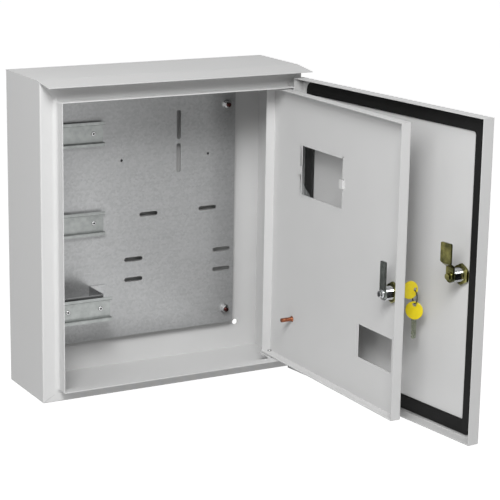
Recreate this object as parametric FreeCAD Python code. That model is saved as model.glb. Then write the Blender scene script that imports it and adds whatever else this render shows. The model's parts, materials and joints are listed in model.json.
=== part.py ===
import FreeCAD, Part
import math
import os

# Electric meter box for a wall: a folded steel cabinet with a rain visor, a sealed outer
# door, an inner door with a meter window and a breaker window, and a mounting plate.
# Millimetres. The origin is the centre of the back face, +Z is up and the front faces -Y.
# Both doors are modelled shut and then swung open about their pins.

V = FreeCAD.Vector
X_DIR = V(1, 0, 0)
Y_DIR = V(0, 1, 0)
Z_DIR = V(0, 0, 1)

# Cabinet
WIDTH = 400.0
HEIGHT = 445.0
DEPTH = 120.0
SHEET = 1.2
EDGE_RADIUS = 2.0
RIM_INSET_SIDE = 23.0
RIM_INSET_TOP = 27.0
RIM_INSET_BOTTOM = 17.0
RIM_PROJECTION = 20.0
RIM_CORNER_RADIUS = 2.0
COVE_RADIUS = 6.0
VISOR_PROJECTION = 30.0
VISOR_DROP = 5.0
VISOR_BEND_BACK = 11.0
VISOR_BEND_RADIUS = 40.0
WALL_HOLE_SPACING_X = 326.0
WALL_HOLE_SPACING_Z = 364.0
WALL_HOLE_RADIUS = 4.0
SIDE_HOLE_RADIUS = 2.5
SIDE_HOLE_FROM_BACK = 30.0
SIDE_HOLE_FROM_BOTTOM = 28.6

# Mounting plate and its fixings
PLATE_LEFT_GAP = 30.3
PLATE_RIGHT_GAP = 47.7
PLATE_END_GAP = 46.0
PLATE_SHEET = 1.2
PLATE_CORNER_RADIUS = 3.0
PLATE_STANDOFF = 10.6
STUD_EDGE_X = 14.3
STUD_EDGE_Z = 21.5
STUD_RADIUS = 3.0
STUD_PROJECTION = 4.0
SPACER_RADIUS = 5.5
WASHER_RADIUS = 7.0
WASHER_THICKNESS = 1.2
NUT_ACROSS_FLATS = 10.0
NUT_HEIGHT = 5.0
PLATE_HOLE_CLEARANCE = 0.3
METER_SLOT_WIDTH = 6.5
METER_SLOT_LENGTH = 29.0
TALL_SLOT_LENGTH = 42.5
METER_SLOT_MARGIN = 6.0
TALL_SLOT_SPACING = 48.5
TALL_SLOT_FROM_TOP = 70.8
UPPER_SLOT_SPACING = 96.5
UPPER_SLOT_FROM_TOP = 173.8
LOWER_SLOT_SPACING = 144.6
LOWER_SLOT_PITCH = 30.0
LOWER_SLOT_FROM_TOP = 253.9
PILOT_HOLE_RADIUS = 1.9
PILOT_HOLE_FROM_TOP = 92.2
PILOT_LEFT_OFFSET = -91.0
PILOT_RIGHT_OFFSET = 48.2

# Device rails and the stand that carries the lowest one
RAIL_HEIGHT = 35.0
RAIL_DEPTH = 7.5
RAIL_CHANNEL = 27.0
RAIL_SHEET = 1.0
RAIL_LENGTH = 80.0
RAIL_BEND_RADIUS = 0.6
RIVET_EDGE = 15.0
RIVET_HEAD_RADIUS = 3.3
RIVET_HEAD_HEIGHT = 1.3
RIVET_SHANK_RADIUS = 2.0
RIVET_BORE_RADIUS = 1.1
RIVET_TAIL = 1.5
RAIL_MARGIN = 29.0
UPPER_RAIL_FROM_TOP = 50.0
RAIL_PITCH = 129.2
STAND_MARGIN = 1.4
STAND_STUD_GAP = 13.3
STAND_HEIGHT = 40.0
STAND_DEPTH = 50.0
STAND_WIDTH = 62.0
STAND_FOOT = 24.0
STAND_SHEET = 1.5
STAND_BEND_RADIUS = 1.0

# Outer door and its seal
OUTER_OPEN_ANGLE = 96.0
OUTER_SIDE_GAP = 3.5
OUTER_TOP_GAP = 15.0
OUTER_BOTTOM_GAP = 2.5
OUTER_FLANGE_GAP = 7.0
OUTER_TIP_REACH = 10.3
OUTER_PIN_RIM_ROOM = 3.7
OUTER_PIN_FROM_EDGE = 5.5
GASKET_THICKNESS = 3.5
GASKET_WIDTH = 19.5
GASKET_CORNER_RADIUS = 14.0
GASKET_INNER_RADIUS = 4.0
GASKET_GAP = 0.3

# Outer hinges: a lug and pin on the cabinet, a leaf with two arms on the door
HINGE_FROM_END = 60.0
LUG_THICKNESS = 4.0
LUG_RADIUS = 4.4
LEAF_SHEET = 1.5
LEAF_ARM_GAP = 0.3
LEAF_ARM_RADIUS = 4.2
NOTCH_ROOM = 1.0
PIN_RADIUS = 2.5
PIN_RUNNING_GAP = 0.05
PIN_TAIL = 1.5
PIN_HEAD_RADIUS = 3.3
PIN_HEAD_HEIGHT = 1.4
PIN_HEAD_GAP = 0.2

# Inner door, its hinge brackets and its windows
INNER_OPEN_ANGLE = 90.0
INNER_RECESS = 16.8
INNER_FLANGE = 15.0
INNER_FREE_GAP = 5.7
INNER_HINGE_GAP = 2.0
INNER_BOTTOM_GAP = 0.8
INNER_TOP_GAP = 1.8
INNER_PIN_FROM_EDGE = 5.0
INNER_PIN_FROM_FACE = 4.7
BRACKET_SHEET = 2.0
BRACKET_WIDTH = 25.0
BRACKET_REACH = 29.0
BRACKET_LEG = 15.0
BRACKET_BEND_RADIUS = 1.5
BRACKET_DOOR_GAP = 1.0
THRUST_WASHER_RADIUS = 5.0
THRUST_WASHER_GAP = 0.1
METER_WINDOW_WIDTH = 107.0
METER_WINDOW_HEIGHT = 69.5
METER_WINDOW_SHIFT = 17.7
METER_WINDOW_FROM_TOP = 93.5
PANE_LAP = 4.0
PANE_THICKNESS = 1.5
PANE_CORNER_RADIUS = 5.0
PANE_GAP = 0.1
PANE_TAB_HEIGHT = 12.0
PANE_TAB_LAP = 7.0
BREAKER_WINDOW_WIDTH = 82.0
BREAKER_WINDOW_HEIGHT = 46.5
BREAKER_WINDOW_SHIFT = 9.1
BREAKER_WINDOW_DROP = 8.8
EARTH_STUD_FROM_HINGE = 61.6
EARTH_STUD_FROM_BOTTOM = 64.5
EARTH_STUD_LENGTH = 18.0
EARTH_STUD_COLLAR = 4.3
EARTH_STUD_COLLAR_HEIGHT = 1.0

# Locks
BARREL_RADIUS = 9.0
BARREL_FLAT = 8.0
BARREL_HOLE_GAP = 0.2
BEZEL_RADIUS = 11.0
BEZEL_HEIGHT = 3.5
BEZEL_ROUND = 1.2
LOCK_NUT_ACROSS_FLATS = 25.5
LOCK_NUT_HEIGHT = 5.0
PLUG_RADIUS = 6.5
PLUG_RUNNING_GAP = 0.05
PLUG_SQUARE = 8.0
CAM_SHEET = 2.5
CAM_RUNNING_GAP = 0.2
CAM_BEND_RADIUS = 1.5
CAM_END_ROOM = 1.5
CAM_TIP_RADIUS = 2.0
CAM_CRANK_START = 12.0
CAM_CRANK_END = 18.0
CAM_SCREW_ACROSS_FLATS = 8.0
CAM_SCREW_HEAD_HEIGHT = 4.6
CAM_SCREW_FLANGE_RADIUS = 5.9
CAM_SCREW_FLANGE_HEIGHT = 1.2
CAM_SCREW_RADIUS = 2.5
CAM_SCREW_LENGTH = 4.0
OUTER_LOCK_FROM_EDGE = 44.5
OUTER_LOCK_Z = -2.5
OUTER_CAM_LENGTH = 45.0
OUTER_CAM_NECK = 14.0
OUTER_CAM_BLADE = 20.0
OUTER_CAM_CRANK = 8.0
OUTER_CAM_CATCH_GAP = 3.0
INNER_LOCK_FROM_EDGE = 24.4
INNER_LOCK_Z = -35.5
INNER_CAM_LENGTH = 43.5
INNER_CAM_WIDTH = 12.0
KEEPER_SHEET = 2.0
KEEPER_REACH = 34.0
KEEPER_LEG = 16.0
KEEPER_HEIGHT = 70.0
KEEPER_GAP = 0.3
CAM_KEEPER_GAP = 0.4
KEEPER_BEND_RADIUS = 1.5

# Keys
KEY_HEAD_RADIUS = 12.2
KEY_HEAD_THICKNESS = 2.4
KEY_HEAD_ROUND = 0.6
KEY_HEAD_OFFSET = 24.0
KEY_HOLE_RADIUS = 2.8
KEY_HOLE_FROM_EDGE = 4.2
KEY_BLADE_THICKNESS = 1.6
KEY_BLADE_WIDTH = 7.0
KEY_BLADE_LENGTH = 27.0
KEY_BLADE_IN_HEAD = 6.0
KEY_BLADE_TIP = 2.5
KEY_SLOT_GAP = 0.1
RING_RADIUS = 9.0
RING_WIRE_RADIUS = 0.8
RING_HANG = 1.4
RING_TWIST = -14.0
SPARE_KEY_TWIST = -54.0

# Places that follow from the sizes above
LEFT = -WIDTH / 2
RIGHT = WIDTH / 2
BOTTOM = -HEIGHT / 2
TOP = HEIGHT / 2
FLANGE_Y = -DEPTH
RIM_LEFT = LEFT + RIM_INSET_SIDE
RIM_RIGHT = RIGHT - RIM_INSET_SIDE
RIM_LOW = BOTTOM + RIM_INSET_BOTTOM
RIM_HIGH = TOP - RIM_INSET_TOP
RIM_FRONT = FLANGE_Y - RIM_PROJECTION

PLATE_LEFT = LEFT + PLATE_LEFT_GAP
PLATE_RIGHT = RIGHT - PLATE_RIGHT_GAP
PLATE_LOW = BOTTOM + PLATE_END_GAP
PLATE_HIGH = TOP - PLATE_END_GAP
PLATE_BACK = -SHEET - PLATE_STANDOFF
PLATE_FRONT = PLATE_BACK - PLATE_SHEET
METER_AXIS_X = PLATE_RIGHT - METER_SLOT_MARGIN - (METER_SLOT_LENGTH + LOWER_SLOT_SPACING) / 2
TALL_SLOT_Z = PLATE_HIGH - TALL_SLOT_FROM_TOP
UPPER_SLOT_Z = PLATE_HIGH - UPPER_SLOT_FROM_TOP
LOWER_SLOT_Z = PLATE_HIGH - LOWER_SLOT_FROM_TOP
PILOT_HOLE_Z = PLATE_HIGH - PILOT_HOLE_FROM_TOP
UPPER_RAIL_X = PLATE_LEFT + RAIL_MARGIN + RAIL_LENGTH / 2
UPPER_RAIL_Z = PLATE_HIGH - UPPER_RAIL_FROM_TOP
MIDDLE_RAIL_Z = UPPER_RAIL_Z - RAIL_PITCH
STAND_RAIL_X = PLATE_LEFT + STAND_MARGIN + STAND_FOOT + STAND_WIDTH / 2
STAND_RAIL_Z = PLATE_LOW + STUD_EDGE_Z + WASHER_RADIUS + STAND_STUD_GAP + STAND_HEIGHT / 2

OUTER_INNER_FACE = RIM_FRONT - GASKET_GAP - GASKET_THICKNESS
OUTER_FACE = OUTER_INNER_FACE - SHEET
OUTER_TIP = FLANGE_Y - OUTER_FLANGE_GAP
OUTER_PIN_X = RIM_RIGHT + OUTER_TIP_REACH + OUTER_PIN_RIM_ROOM
OUTER_PIN_Y = OUTER_TIP - OUTER_TIP_REACH
OUTER_LEFT = LEFT + OUTER_SIDE_GAP
OUTER_RIGHT = OUTER_PIN_X + OUTER_PIN_FROM_EDGE
OUTER_LOW = BOTTOM + OUTER_BOTTOM_GAP
OUTER_HIGH = TOP - OUTER_TOP_GAP
OUTER_HINGE_ZS = (OUTER_LOW + HINGE_FROM_END, OUTER_HIGH - HINGE_FROM_END)

INNER_FACE = FLANGE_Y + INNER_RECESS
INNER_TIP = INNER_FACE + INNER_FLANGE
INNER_LEFT = RIM_LEFT + SHEET + INNER_FREE_GAP
INNER_RIGHT = RIM_RIGHT - SHEET - INNER_HINGE_GAP
INNER_LOW = RIM_LOW + SHEET + INNER_BOTTOM_GAP
INNER_HIGH = RIM_HIGH - SHEET - INNER_TOP_GAP
INNER_PIN_X = INNER_RIGHT - INNER_PIN_FROM_EDGE
INNER_PIN_Y = INNER_FACE + INNER_PIN_FROM_FACE
METER_WINDOW_X = METER_AXIS_X - METER_WINDOW_SHIFT
METER_WINDOW_Z = PLATE_HIGH - METER_WINDOW_FROM_TOP
BREAKER_WINDOW_X = STAND_RAIL_X + BREAKER_WINDOW_SHIFT
BREAKER_WINDOW_Z = STAND_RAIL_Z - BREAKER_WINDOW_DROP
EARTH_STUD_X = INNER_RIGHT - EARTH_STUD_FROM_HINGE
EARTH_STUD_Z = INNER_LOW + EARTH_STUD_FROM_BOTTOM

INNER_SHELF_LOW = INNER_LOW - BRACKET_DOOR_GAP
INNER_SHELF_HIGH = INNER_HIGH + BRACKET_DOOR_GAP

OUTER_LOCK_X = OUTER_LEFT + OUTER_LOCK_FROM_EDGE
INNER_LOCK_X = INNER_LEFT + INNER_LOCK_FROM_EDGE
OUTER_CAM_CATCH = FLANGE_Y + SHEET - OUTER_FACE + OUTER_CAM_CATCH_GAP
OUTER_BARREL_LENGTH = OUTER_CAM_CATCH - OUTER_CAM_CRANK - CAM_RUNNING_GAP
INNER_BARREL_LENGTH = INNER_FLANGE + KEEPER_GAP + KEEPER_SHEET + CAM_KEEPER_GAP - CAM_RUNNING_GAP
KEY_TIP_DEPTH = KEY_HEAD_RADIUS + KEY_BLADE_LENGTH - KEY_HEAD_OFFSET


# Shared shapes

def block(x0, x1, y0, y1, z0, z1):
    """Box between two corners."""
    return Part.makeBox(x1 - x0, y1 - y0, z1 - z0, V(x0, y0, z0))


def rounded_block(x0, x1, y0, y1, z0, z1, radius):
    """Box whose four edges along Y are rounded."""
    body = block(x0, x1, y0, y1, z0, z1)
    edges = [e for e in body.Edges if abs(e.tangentAt(e.FirstParameter).y) > 0.5]
    return body.makeFillet(radius, edges)


def rod(base, direction, length, radius):
    """Cylinder from a base point along a direction."""
    return Part.makeCylinder(radius, length, base, direction)


def slot(x, z, length, width, y0, y1, upright):
    """Round-ended slot through Y, centred at x and z."""
    half_l = length / 2
    half_w = width / 2
    if upright:
        return rounded_block(x - half_w, x + half_w, y0, y1, z - half_l, z + half_l, half_w * 0.999)
    return rounded_block(x - half_l, x + half_l, y0, y1, z - half_w, z + half_w, half_w * 0.999)


def hex_block(base, direction, across_flats, height):
    """Hexagon with both ends chamfered, along a direction from its base point."""
    corner = across_flats / math.sqrt(3)
    chamfer_start = across_flats / 2 * 0.96
    rise = (corner - chamfer_start) * math.tan(math.radians(30))
    points = [V(corner * math.cos(math.radians(a)), corner * math.sin(math.radians(a)), 0)
              for a in range(30, 391, 60)]
    prism = Part.Face(Part.makePolygon(points)).extrude(V(0, 0, height))
    outline = [V(0, 0, 0), V(chamfer_start, 0, 0), V(corner, 0, rise), V(corner, 0, height - rise),
               V(chamfer_start, 0, height), V(0, 0, height), V(0, 0, 0)]
    blank = Part.Face(Part.makePolygon(outline)).revolve(V(0, 0, 0), Z_DIR, 360)
    hexagon = prism.common(blank)
    hexagon.Placement = FreeCAD.Placement(base, FreeCAD.Rotation(Z_DIR, direction))
    return hexagon


def hex_nut(base, direction, across_flats, height, bore_radius):
    """Hexagon nut along a direction from its base point."""
    return hex_block(base, direction, across_flats, height).cut(rod(base, direction, height, bore_radius))


def left_offset(path, thickness):
    """Points of a path moved to its left by a sheet's thickness, mitred at the bends."""
    normals = []
    for (u0, v0), (u1, v1) in zip(path, path[1:]):
        length = math.hypot(u1 - u0, v1 - v0)
        normals.append((-(v1 - v0) / length, (u1 - u0) / length))
    moved = []
    for i, (u, v) in enumerate(path):
        before = normals[max(i - 1, 0)]
        after = normals[min(i, len(normals) - 1)]
        scale = thickness / (1 + before[0] * after[0] + before[1] * after[1])
        moved.append((u + scale * (before[0] + after[0]), v + scale * (before[1] + after[1])))
    return moved


def folded_strip(path, thickness, bend_radius, width, origin, u_dir, v_dir):
    """Sheet strip folded along (u, v) points, with its thickness on the left and rounded bends.

    The strip runs for its width along u_dir x v_dir.
    """
    moved = left_offset(path, thickness)
    w_dir = u_dir.cross(v_dir)

    def place(point):
        return origin + u_dir * point[0] + v_dir * point[1]

    corners = [place(p) for p in path + moved[::-1]]
    strip = Part.Face(Part.makePolygon(corners + corners[:1])).extrude(w_dir * width)
    outer_edges, inner_edges = [], []
    for i in range(1, len(path) - 1):
        (u0, v0), (u1, v1), (u2, v2) = path[i - 1:i + 2]
        turns_left = (u1 - u0) * (v2 - v1) - (v1 - v0) * (u2 - u1) > 0
        inside, outside = (moved[i], path[i]) if turns_left else (path[i], moved[i])
        inner_edges.append(edge_at(strip, place(inside), w_dir))
        outer_edges.append(edge_at(strip, place(outside), w_dir))
    strip = strip.makeFillet(bend_radius, inner_edges)
    outer_edges = [edge_at(strip, e.Vertexes[0].Point, w_dir) for e in outer_edges]
    return strip.makeFillet(bend_radius + thickness, outer_edges)


def edge_at(shape, point, direction):
    """The shape's straight edge that runs along a unit direction through a point."""
    for edge in shape.Edges:
        tangent = edge.tangentAt(edge.FirstParameter)
        offset = edge.Vertexes[0].Point - point
        if tangent.cross(direction).Length < 1e-6 and offset.cross(direction).Length < 1e-4:
            return edge
    raise ValueError("no edge at %s" % point)


def plane_edges(shape, y, x0, x1, z0, z1):
    """Edges that lie in the plane at y and inside a rectangle."""
    found = []
    for edge in shape.Edges:
        box = edge.BoundBox
        flat = abs(box.YMin - y) < 1e-3 and abs(box.YMax - y) < 1e-3
        inside = box.XMin > x0 and box.XMax < x1 and box.ZMin > z0 and box.ZMax < z1
        if flat and inside:
            found.append(edge)
    return found


def tray(x0, x1, z0, z1, face_y, tip_y):
    """Folded door: a panel at face_y with flanges back to tip_y and rounded folds."""
    outer = block(x0, x1, face_y, tip_y, z0, z1)
    reach = 1.0
    folds = plane_edges(outer, face_y, x0 - reach, x1 + reach, z0 - reach, z1 + reach)
    outer = outer.makeFillet(EDGE_RADIUS, folds)
    hollow = block(x0 + SHEET, x1 - SHEET, face_y + SHEET, tip_y + reach, z0 + SHEET, z1 - SHEET)
    return outer.cut(hollow)


def swing(shape, pin_x, pin_y, angle):
    """Copy of a shape turned about an upright pin."""
    turned = shape.copy()
    turned.rotate(V(pin_x, pin_y, 0), Z_DIR, angle)
    return turned


def open_outer(shape):
    """Swings a piece of the outer door from shut to open."""
    return swing(shape, OUTER_PIN_X, OUTER_PIN_Y, OUTER_OPEN_ANGLE)


def open_inner(shape):
    """Swings a piece of the inner door from shut to open."""
    return swing(shape, INNER_PIN_X, INNER_PIN_Y, INNER_OPEN_ANGLE)


def headed_pin(x, y, foot_z, head_z):
    """Upright hinge pin whose head sits on head_z."""
    shank = rod(V(x, y, foot_z), Z_DIR, head_z - foot_z, PIN_RADIUS)
    head = rod(V(x, y, head_z), Z_DIR, PIN_HEAD_HEIGHT, PIN_HEAD_RADIUS)
    head = head.makeFillet(PIN_HEAD_HEIGHT * 0.5, [edge_on_top(head)])
    return shank.fuse(head).removeSplitter()


def edge_on_top(shape):
    """The round edge of an upright cylinder's upper end."""
    rounds = [e for e in shape.Edges if isinstance(e.Curve, Part.Circle)]
    return max(rounds, key=lambda e: e.BoundBox.ZMax)


# Cabinet

def roof_path():
    """Underside of the roof sheet from the back wall to the visor's tip, as (depth, height)."""
    under = TOP - SHEET
    return [(0.0, under), (FLANGE_Y + VISOR_BEND_BACK, under),
            (FLANGE_Y - VISOR_PROJECTION, under - VISOR_DROP)]


def make_roof_visor():
    """Level roof sheet that runs forward into a visor bent slightly down."""
    path = roof_path()[::-1]
    return folded_strip(path, SHEET, VISOR_BEND_RADIUS, WIDTH, V(LEFT, 0, 0), Y_DIR, Z_DIR)


def make_cabinet_body(roof):
    """Folded shell without a roof: back, sides, floor, front flange and the raised rim."""
    reach = 2 * SHEET
    outer = block(LEFT, RIGHT, FLANGE_Y, 0, BOTTOM, TOP + reach)
    folds = [e for e in outer.Edges if e.BoundBox.ZMin < BOTTOM + 1e-3]
    outer = outer.makeFillet(EDGE_RADIUS, folds)
    hollow = block(LEFT + SHEET, RIGHT - SHEET, FLANGE_Y + SHEET, -SHEET, BOTTOM + SHEET, TOP + 2 * reach)
    body = outer.cut(hollow)
    rim = rounded_block(RIM_LEFT, RIM_RIGHT, RIM_FRONT, FLANGE_Y + SHEET, RIM_LOW, RIM_HIGH,
                        RIM_CORNER_RADIUS)
    mouth = rounded_block(RIM_LEFT + SHEET, RIM_RIGHT - SHEET, RIM_FRONT - reach, FLANGE_Y + reach,
                          RIM_LOW + SHEET, RIM_HIGH - SHEET, RIM_CORNER_RADIUS - SHEET)
    body = body.fuse(rim).cut(mouth).removeSplitter()
    near = 0.1
    frame = (RIM_LEFT - near, RIM_RIGHT + near, RIM_LOW - near, RIM_HIGH + near)
    body = body.makeFillet(COVE_RADIUS, plane_edges(body, FLANGE_Y, *frame))
    body = body.makeFillet(COVE_RADIUS + SHEET, plane_edges(body, FLANGE_Y + SHEET, *frame))
    sky = [V(LEFT - reach, y, z) for y, z in roof_path()]
    sky += [V(LEFT - reach, FLANGE_Y - VISOR_PROJECTION, TOP + 3 * reach),
            V(LEFT - reach, reach, TOP + 3 * reach), V(LEFT - reach, reach, TOP - SHEET)]
    above_roof = Part.Face(Part.makePolygon(sky + sky[:1])).extrude(V(WIDTH + 2 * reach, 0, 0))
    body = body.cut(above_roof).cut(roof)
    for x in (-WALL_HOLE_SPACING_X / 2, WALL_HOLE_SPACING_X / 2):
        for z in (-WALL_HOLE_SPACING_Z / 2, WALL_HOLE_SPACING_Z / 2):
            body = body.cut(rod(V(x, -reach, z), Y_DIR, 2 * reach, WALL_HOLE_RADIUS))
    side_hole = V(RIGHT - reach, -SIDE_HOLE_FROM_BACK, BOTTOM + SIDE_HOLE_FROM_BOTTOM)
    return body.cut(rod(side_hole, X_DIR, 2 * reach, SIDE_HOLE_RADIUS))


def make_inner_hinge_brackets():
    """Angle brackets behind the flange that hold the inner door's two pins."""
    flange_back = FLANGE_Y + SHEET
    shelf_end = flange_back + BRACKET_REACH
    low_path = [(shelf_end, INNER_SHELF_LOW), (flange_back, INNER_SHELF_LOW),
                (flange_back, INNER_SHELF_LOW - BRACKET_LEG)]
    high_path = [(flange_back, INNER_SHELF_HIGH + BRACKET_LEG), (flange_back, INNER_SHELF_HIGH),
                 (shelf_end, INNER_SHELF_HIGH)]
    corner = V(INNER_PIN_X - BRACKET_WIDTH / 2, 0, 0)
    pin_hole = rod(V(INNER_PIN_X, INNER_PIN_Y, BOTTOM), Z_DIR, HEIGHT, PIN_RADIUS)
    strips = [folded_strip(path, BRACKET_SHEET, BRACKET_BEND_RADIUS, BRACKET_WIDTH, corner, Y_DIR, Z_DIR)
              for path in (low_path, high_path)]
    return Part.makeCompound([strip.cut(pin_hole) for strip in strips])


def make_inner_hinge_pins():
    """Two headed pins: the lower one's head shows inside the door, the upper one's above its bracket."""
    low = headed_pin(INNER_PIN_X, INNER_PIN_Y, INNER_SHELF_LOW - BRACKET_SHEET - PIN_TAIL,
                     INNER_LOW + SHEET + PIN_HEAD_GAP)
    high = headed_pin(INNER_PIN_X, INNER_PIN_Y, INNER_HIGH - SHEET - PIN_TAIL,
                      INNER_SHELF_HIGH + BRACKET_SHEET)
    return Part.makeCompound([low, high])


def make_inner_hinge_washer():
    """Thrust washer that the inner door turns on."""
    thickness = BRACKET_DOOR_GAP - THRUST_WASHER_GAP
    base = V(INNER_PIN_X, INNER_PIN_Y, INNER_SHELF_LOW)
    return rod(base, Z_DIR, thickness, THRUST_WASHER_RADIUS).cut(rod(base, Z_DIR, thickness, PIN_RADIUS))


def make_inner_lock_keeper():
    """Angle on the free side's wall: the inner door stops on it and its cam turns in behind it."""
    wall = LEFT + SHEET
    front = INNER_TIP + KEEPER_GAP
    path = [(wall, front + KEEPER_LEG), (wall, front), (wall + KEEPER_REACH, front)]
    corner = V(0, 0, INNER_LOCK_Z - KEEPER_HEIGHT / 2)
    return folded_strip(path, KEEPER_SHEET, KEEPER_BEND_RADIUS, KEEPER_HEIGHT, corner, X_DIR, Y_DIR)


def make_outer_hinge_lugs():
    """Lugs on the flange that carry the outer door's pins."""
    lugs = []
    for z in OUTER_HINGE_ZS:
        low = z - LUG_THICKNESS / 2
        arm = block(OUTER_PIN_X - LUG_RADIUS, OUTER_PIN_X + LUG_RADIUS, OUTER_PIN_Y, FLANGE_Y,
                    low, low + LUG_THICKNESS)
        end = V(OUTER_PIN_X, OUTER_PIN_Y, low)
        lug = arm.fuse(rod(end, Z_DIR, LUG_THICKNESS, LUG_RADIUS)).removeSplitter()
        lugs.append(lug.cut(rod(end, Z_DIR, LUG_THICKNESS, PIN_RADIUS)))
    return Part.makeCompound(lugs)


def make_outer_hinge_pins():
    """One headed pin through each lug and the two arms of its leaf."""
    half = LUG_THICKNESS / 2 + LEAF_ARM_GAP + LEAF_SHEET
    return Part.makeCompound([headed_pin(OUTER_PIN_X, OUTER_PIN_Y, z - half - PIN_TAIL,
                                         z + half + PIN_HEAD_GAP) for z in OUTER_HINGE_ZS])


def cabinet_nodes():
    """Nodes of the cabinet shell and what is welded to it."""
    roof = make_roof_visor()
    return {
        "roof_visor": roof,
        "cabinet_body": make_cabinet_body(roof),
        "inner_hinge_brackets": make_inner_hinge_brackets(),
        "inner_hinge_pins": make_inner_hinge_pins(),
        "inner_hinge_washer": make_inner_hinge_washer(),
        "inner_lock_keeper": make_inner_lock_keeper(),
        "outer_hinge_lugs": make_outer_hinge_lugs(),
        "outer_hinge_pins": make_outer_hinge_pins(),
    }


# Mounting plate, rails and fixings

def stud_places():
    """Centres of the plate's four studs, as (x, z)."""
    return [(x, z) for x in (PLATE_LEFT + STUD_EDGE_X, PLATE_RIGHT - STUD_EDGE_X)
            for z in (PLATE_LOW + STUD_EDGE_Z, PLATE_HIGH - STUD_EDGE_Z)]


def meter_slots(y0, y1):
    """Slots and pilot holes that a meter's screws pass through."""
    cuts = []
    for side in (-1, 1):
        cuts.append(slot(METER_AXIS_X, TALL_SLOT_Z + side * TALL_SLOT_SPACING / 2,
                         TALL_SLOT_LENGTH, METER_SLOT_WIDTH, y0, y1, True))
        cuts.append(slot(METER_AXIS_X + side * UPPER_SLOT_SPACING / 2, UPPER_SLOT_Z,
                         METER_SLOT_LENGTH, METER_SLOT_WIDTH, y0, y1, False))
        for row in (-1, 1):
            cuts.append(slot(METER_AXIS_X + side * LOWER_SLOT_SPACING / 2,
                             LOWER_SLOT_Z + row * LOWER_SLOT_PITCH / 2,
                             METER_SLOT_LENGTH, METER_SLOT_WIDTH, y0, y1, False))
    for offset in (PILOT_LEFT_OFFSET, PILOT_RIGHT_OFFSET):
        cuts.append(rod(V(METER_AXIS_X + offset, y0, PILOT_HOLE_Z), Y_DIR, y1 - y0, PILOT_HOLE_RADIUS))
    return cuts


def rail_rivet_places(rail_x, rail_z):
    """Centres of a rail's two rivets, as (x, z)."""
    half = RAIL_LENGTH / 2 - RIVET_EDGE
    return [(rail_x - half, rail_z), (rail_x + half, rail_z)]


def stand_rivet_places():
    """Centres of the rivets in the stand's two feet, as (x, z)."""
    half = STAND_WIDTH / 2 + STAND_FOOT / 2
    return [(STAND_RAIL_X - half, STAND_RAIL_Z), (STAND_RAIL_X + half, STAND_RAIL_Z)]


def plate_rivet_places():
    """Centres of every rivet that goes through the plate."""
    return (rail_rivet_places(UPPER_RAIL_X, UPPER_RAIL_Z) + rail_rivet_places(UPPER_RAIL_X, MIDDLE_RAIL_Z)
            + stand_rivet_places())


def drill(shape, places, y0, y1, radius):
    """Round holes through Y at the given places."""
    for x, z in places:
        shape = shape.cut(rod(V(x, y0, z), Y_DIR, y1 - y0, radius))
    return shape


def make_mounting_plate():
    """Galvanised plate on studs, slotted for a meter."""
    y0, y1 = PLATE_FRONT, PLATE_BACK
    plate = rounded_block(PLATE_LEFT, PLATE_RIGHT, y0, y1, PLATE_LOW, PLATE_HIGH, PLATE_CORNER_RADIUS)
    for cut in meter_slots(y0, y1):
        plate = plate.cut(cut)
    plate = drill(plate, stud_places(), y0, y1, STUD_RADIUS + PLATE_HOLE_CLEARANCE)
    return drill(plate, plate_rivet_places(), y0, y1, RIVET_SHANK_RADIUS)


def ring_stack(y0, length, radius, bore):
    """Tube of a given length on each stud, starting at y0 and running back."""
    bases = [V(x, y0, z) for x, z in stud_places()]
    return Part.makeCompound([rod(base, Y_DIR, length, radius).cut(rod(base, Y_DIR, length, bore))
                              for base in bases])


def plate_nodes():
    """Nodes of the plate and of the studs, spacers, washers and nuts that hold it."""
    washer_front = PLATE_FRONT - WASHER_THICKNESS
    stud_tip = washer_front - NUT_HEIGHT - STUD_PROJECTION
    studs = [rod(V(x, stud_tip, z), Y_DIR, -SHEET - stud_tip, STUD_RADIUS) for x, z in stud_places()]
    nuts = [hex_nut(V(x, washer_front, z), -Y_DIR, NUT_ACROSS_FLATS, NUT_HEIGHT, STUD_RADIUS)
            for x, z in stud_places()]
    return {
        "mounting_plate": make_mounting_plate(),
        "plate_studs": Part.makeCompound(studs),
        "plate_spacers": ring_stack(PLATE_BACK, PLATE_STANDOFF, SPACER_RADIUS, STUD_RADIUS),
        "plate_washers": ring_stack(washer_front, WASHER_THICKNESS, WASHER_RADIUS, STUD_RADIUS),
        "plate_nuts": Part.makeCompound(nuts),
    }


def make_rail(rail_x, rail_z, base_y):
    """Top-hat device rail whose web lies on base_y."""
    lip_y = base_y - RAIL_DEPTH + RAIL_SHEET
    half, wall = RAIL_HEIGHT / 2, RAIL_CHANNEL / 2
    path = [(lip_y, -half), (lip_y, -wall), (base_y, -wall), (base_y, wall), (lip_y, wall), (lip_y, half)]
    corner = V(rail_x - RAIL_LENGTH / 2, 0, rail_z)
    rail = folded_strip(path, RAIL_SHEET, RAIL_BEND_RADIUS, RAIL_LENGTH, corner, Y_DIR, Z_DIR)
    return drill(rail, rail_rivet_places(rail_x, rail_z), base_y - RAIL_SHEET, base_y, RIVET_SHANK_RADIUS)


def make_rail_stand():
    """Hat-shaped strip that lifts the lowest rail towards the breaker window."""
    back, front = PLATE_FRONT, PLATE_FRONT - STAND_DEPTH + STAND_SHEET
    wall = STAND_WIDTH / 2 - STAND_SHEET
    foot = STAND_WIDTH / 2 + STAND_FOOT
    path = [(foot, back), (wall, back), (wall, front), (-wall, front), (-wall, back), (-foot, back)]
    corner = V(STAND_RAIL_X, 0, STAND_RAIL_Z - STAND_HEIGHT / 2)
    stand = folded_strip(path, STAND_SHEET, STAND_BEND_RADIUS, STAND_HEIGHT, corner, X_DIR, Y_DIR)
    stand = drill(stand, stand_rivet_places(), back - STAND_SHEET, back, RIVET_SHANK_RADIUS)
    return drill(stand, rail_rivet_places(STAND_RAIL_X, STAND_RAIL_Z), front - STAND_SHEET, front,
                 RIVET_SHANK_RADIUS)


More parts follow.
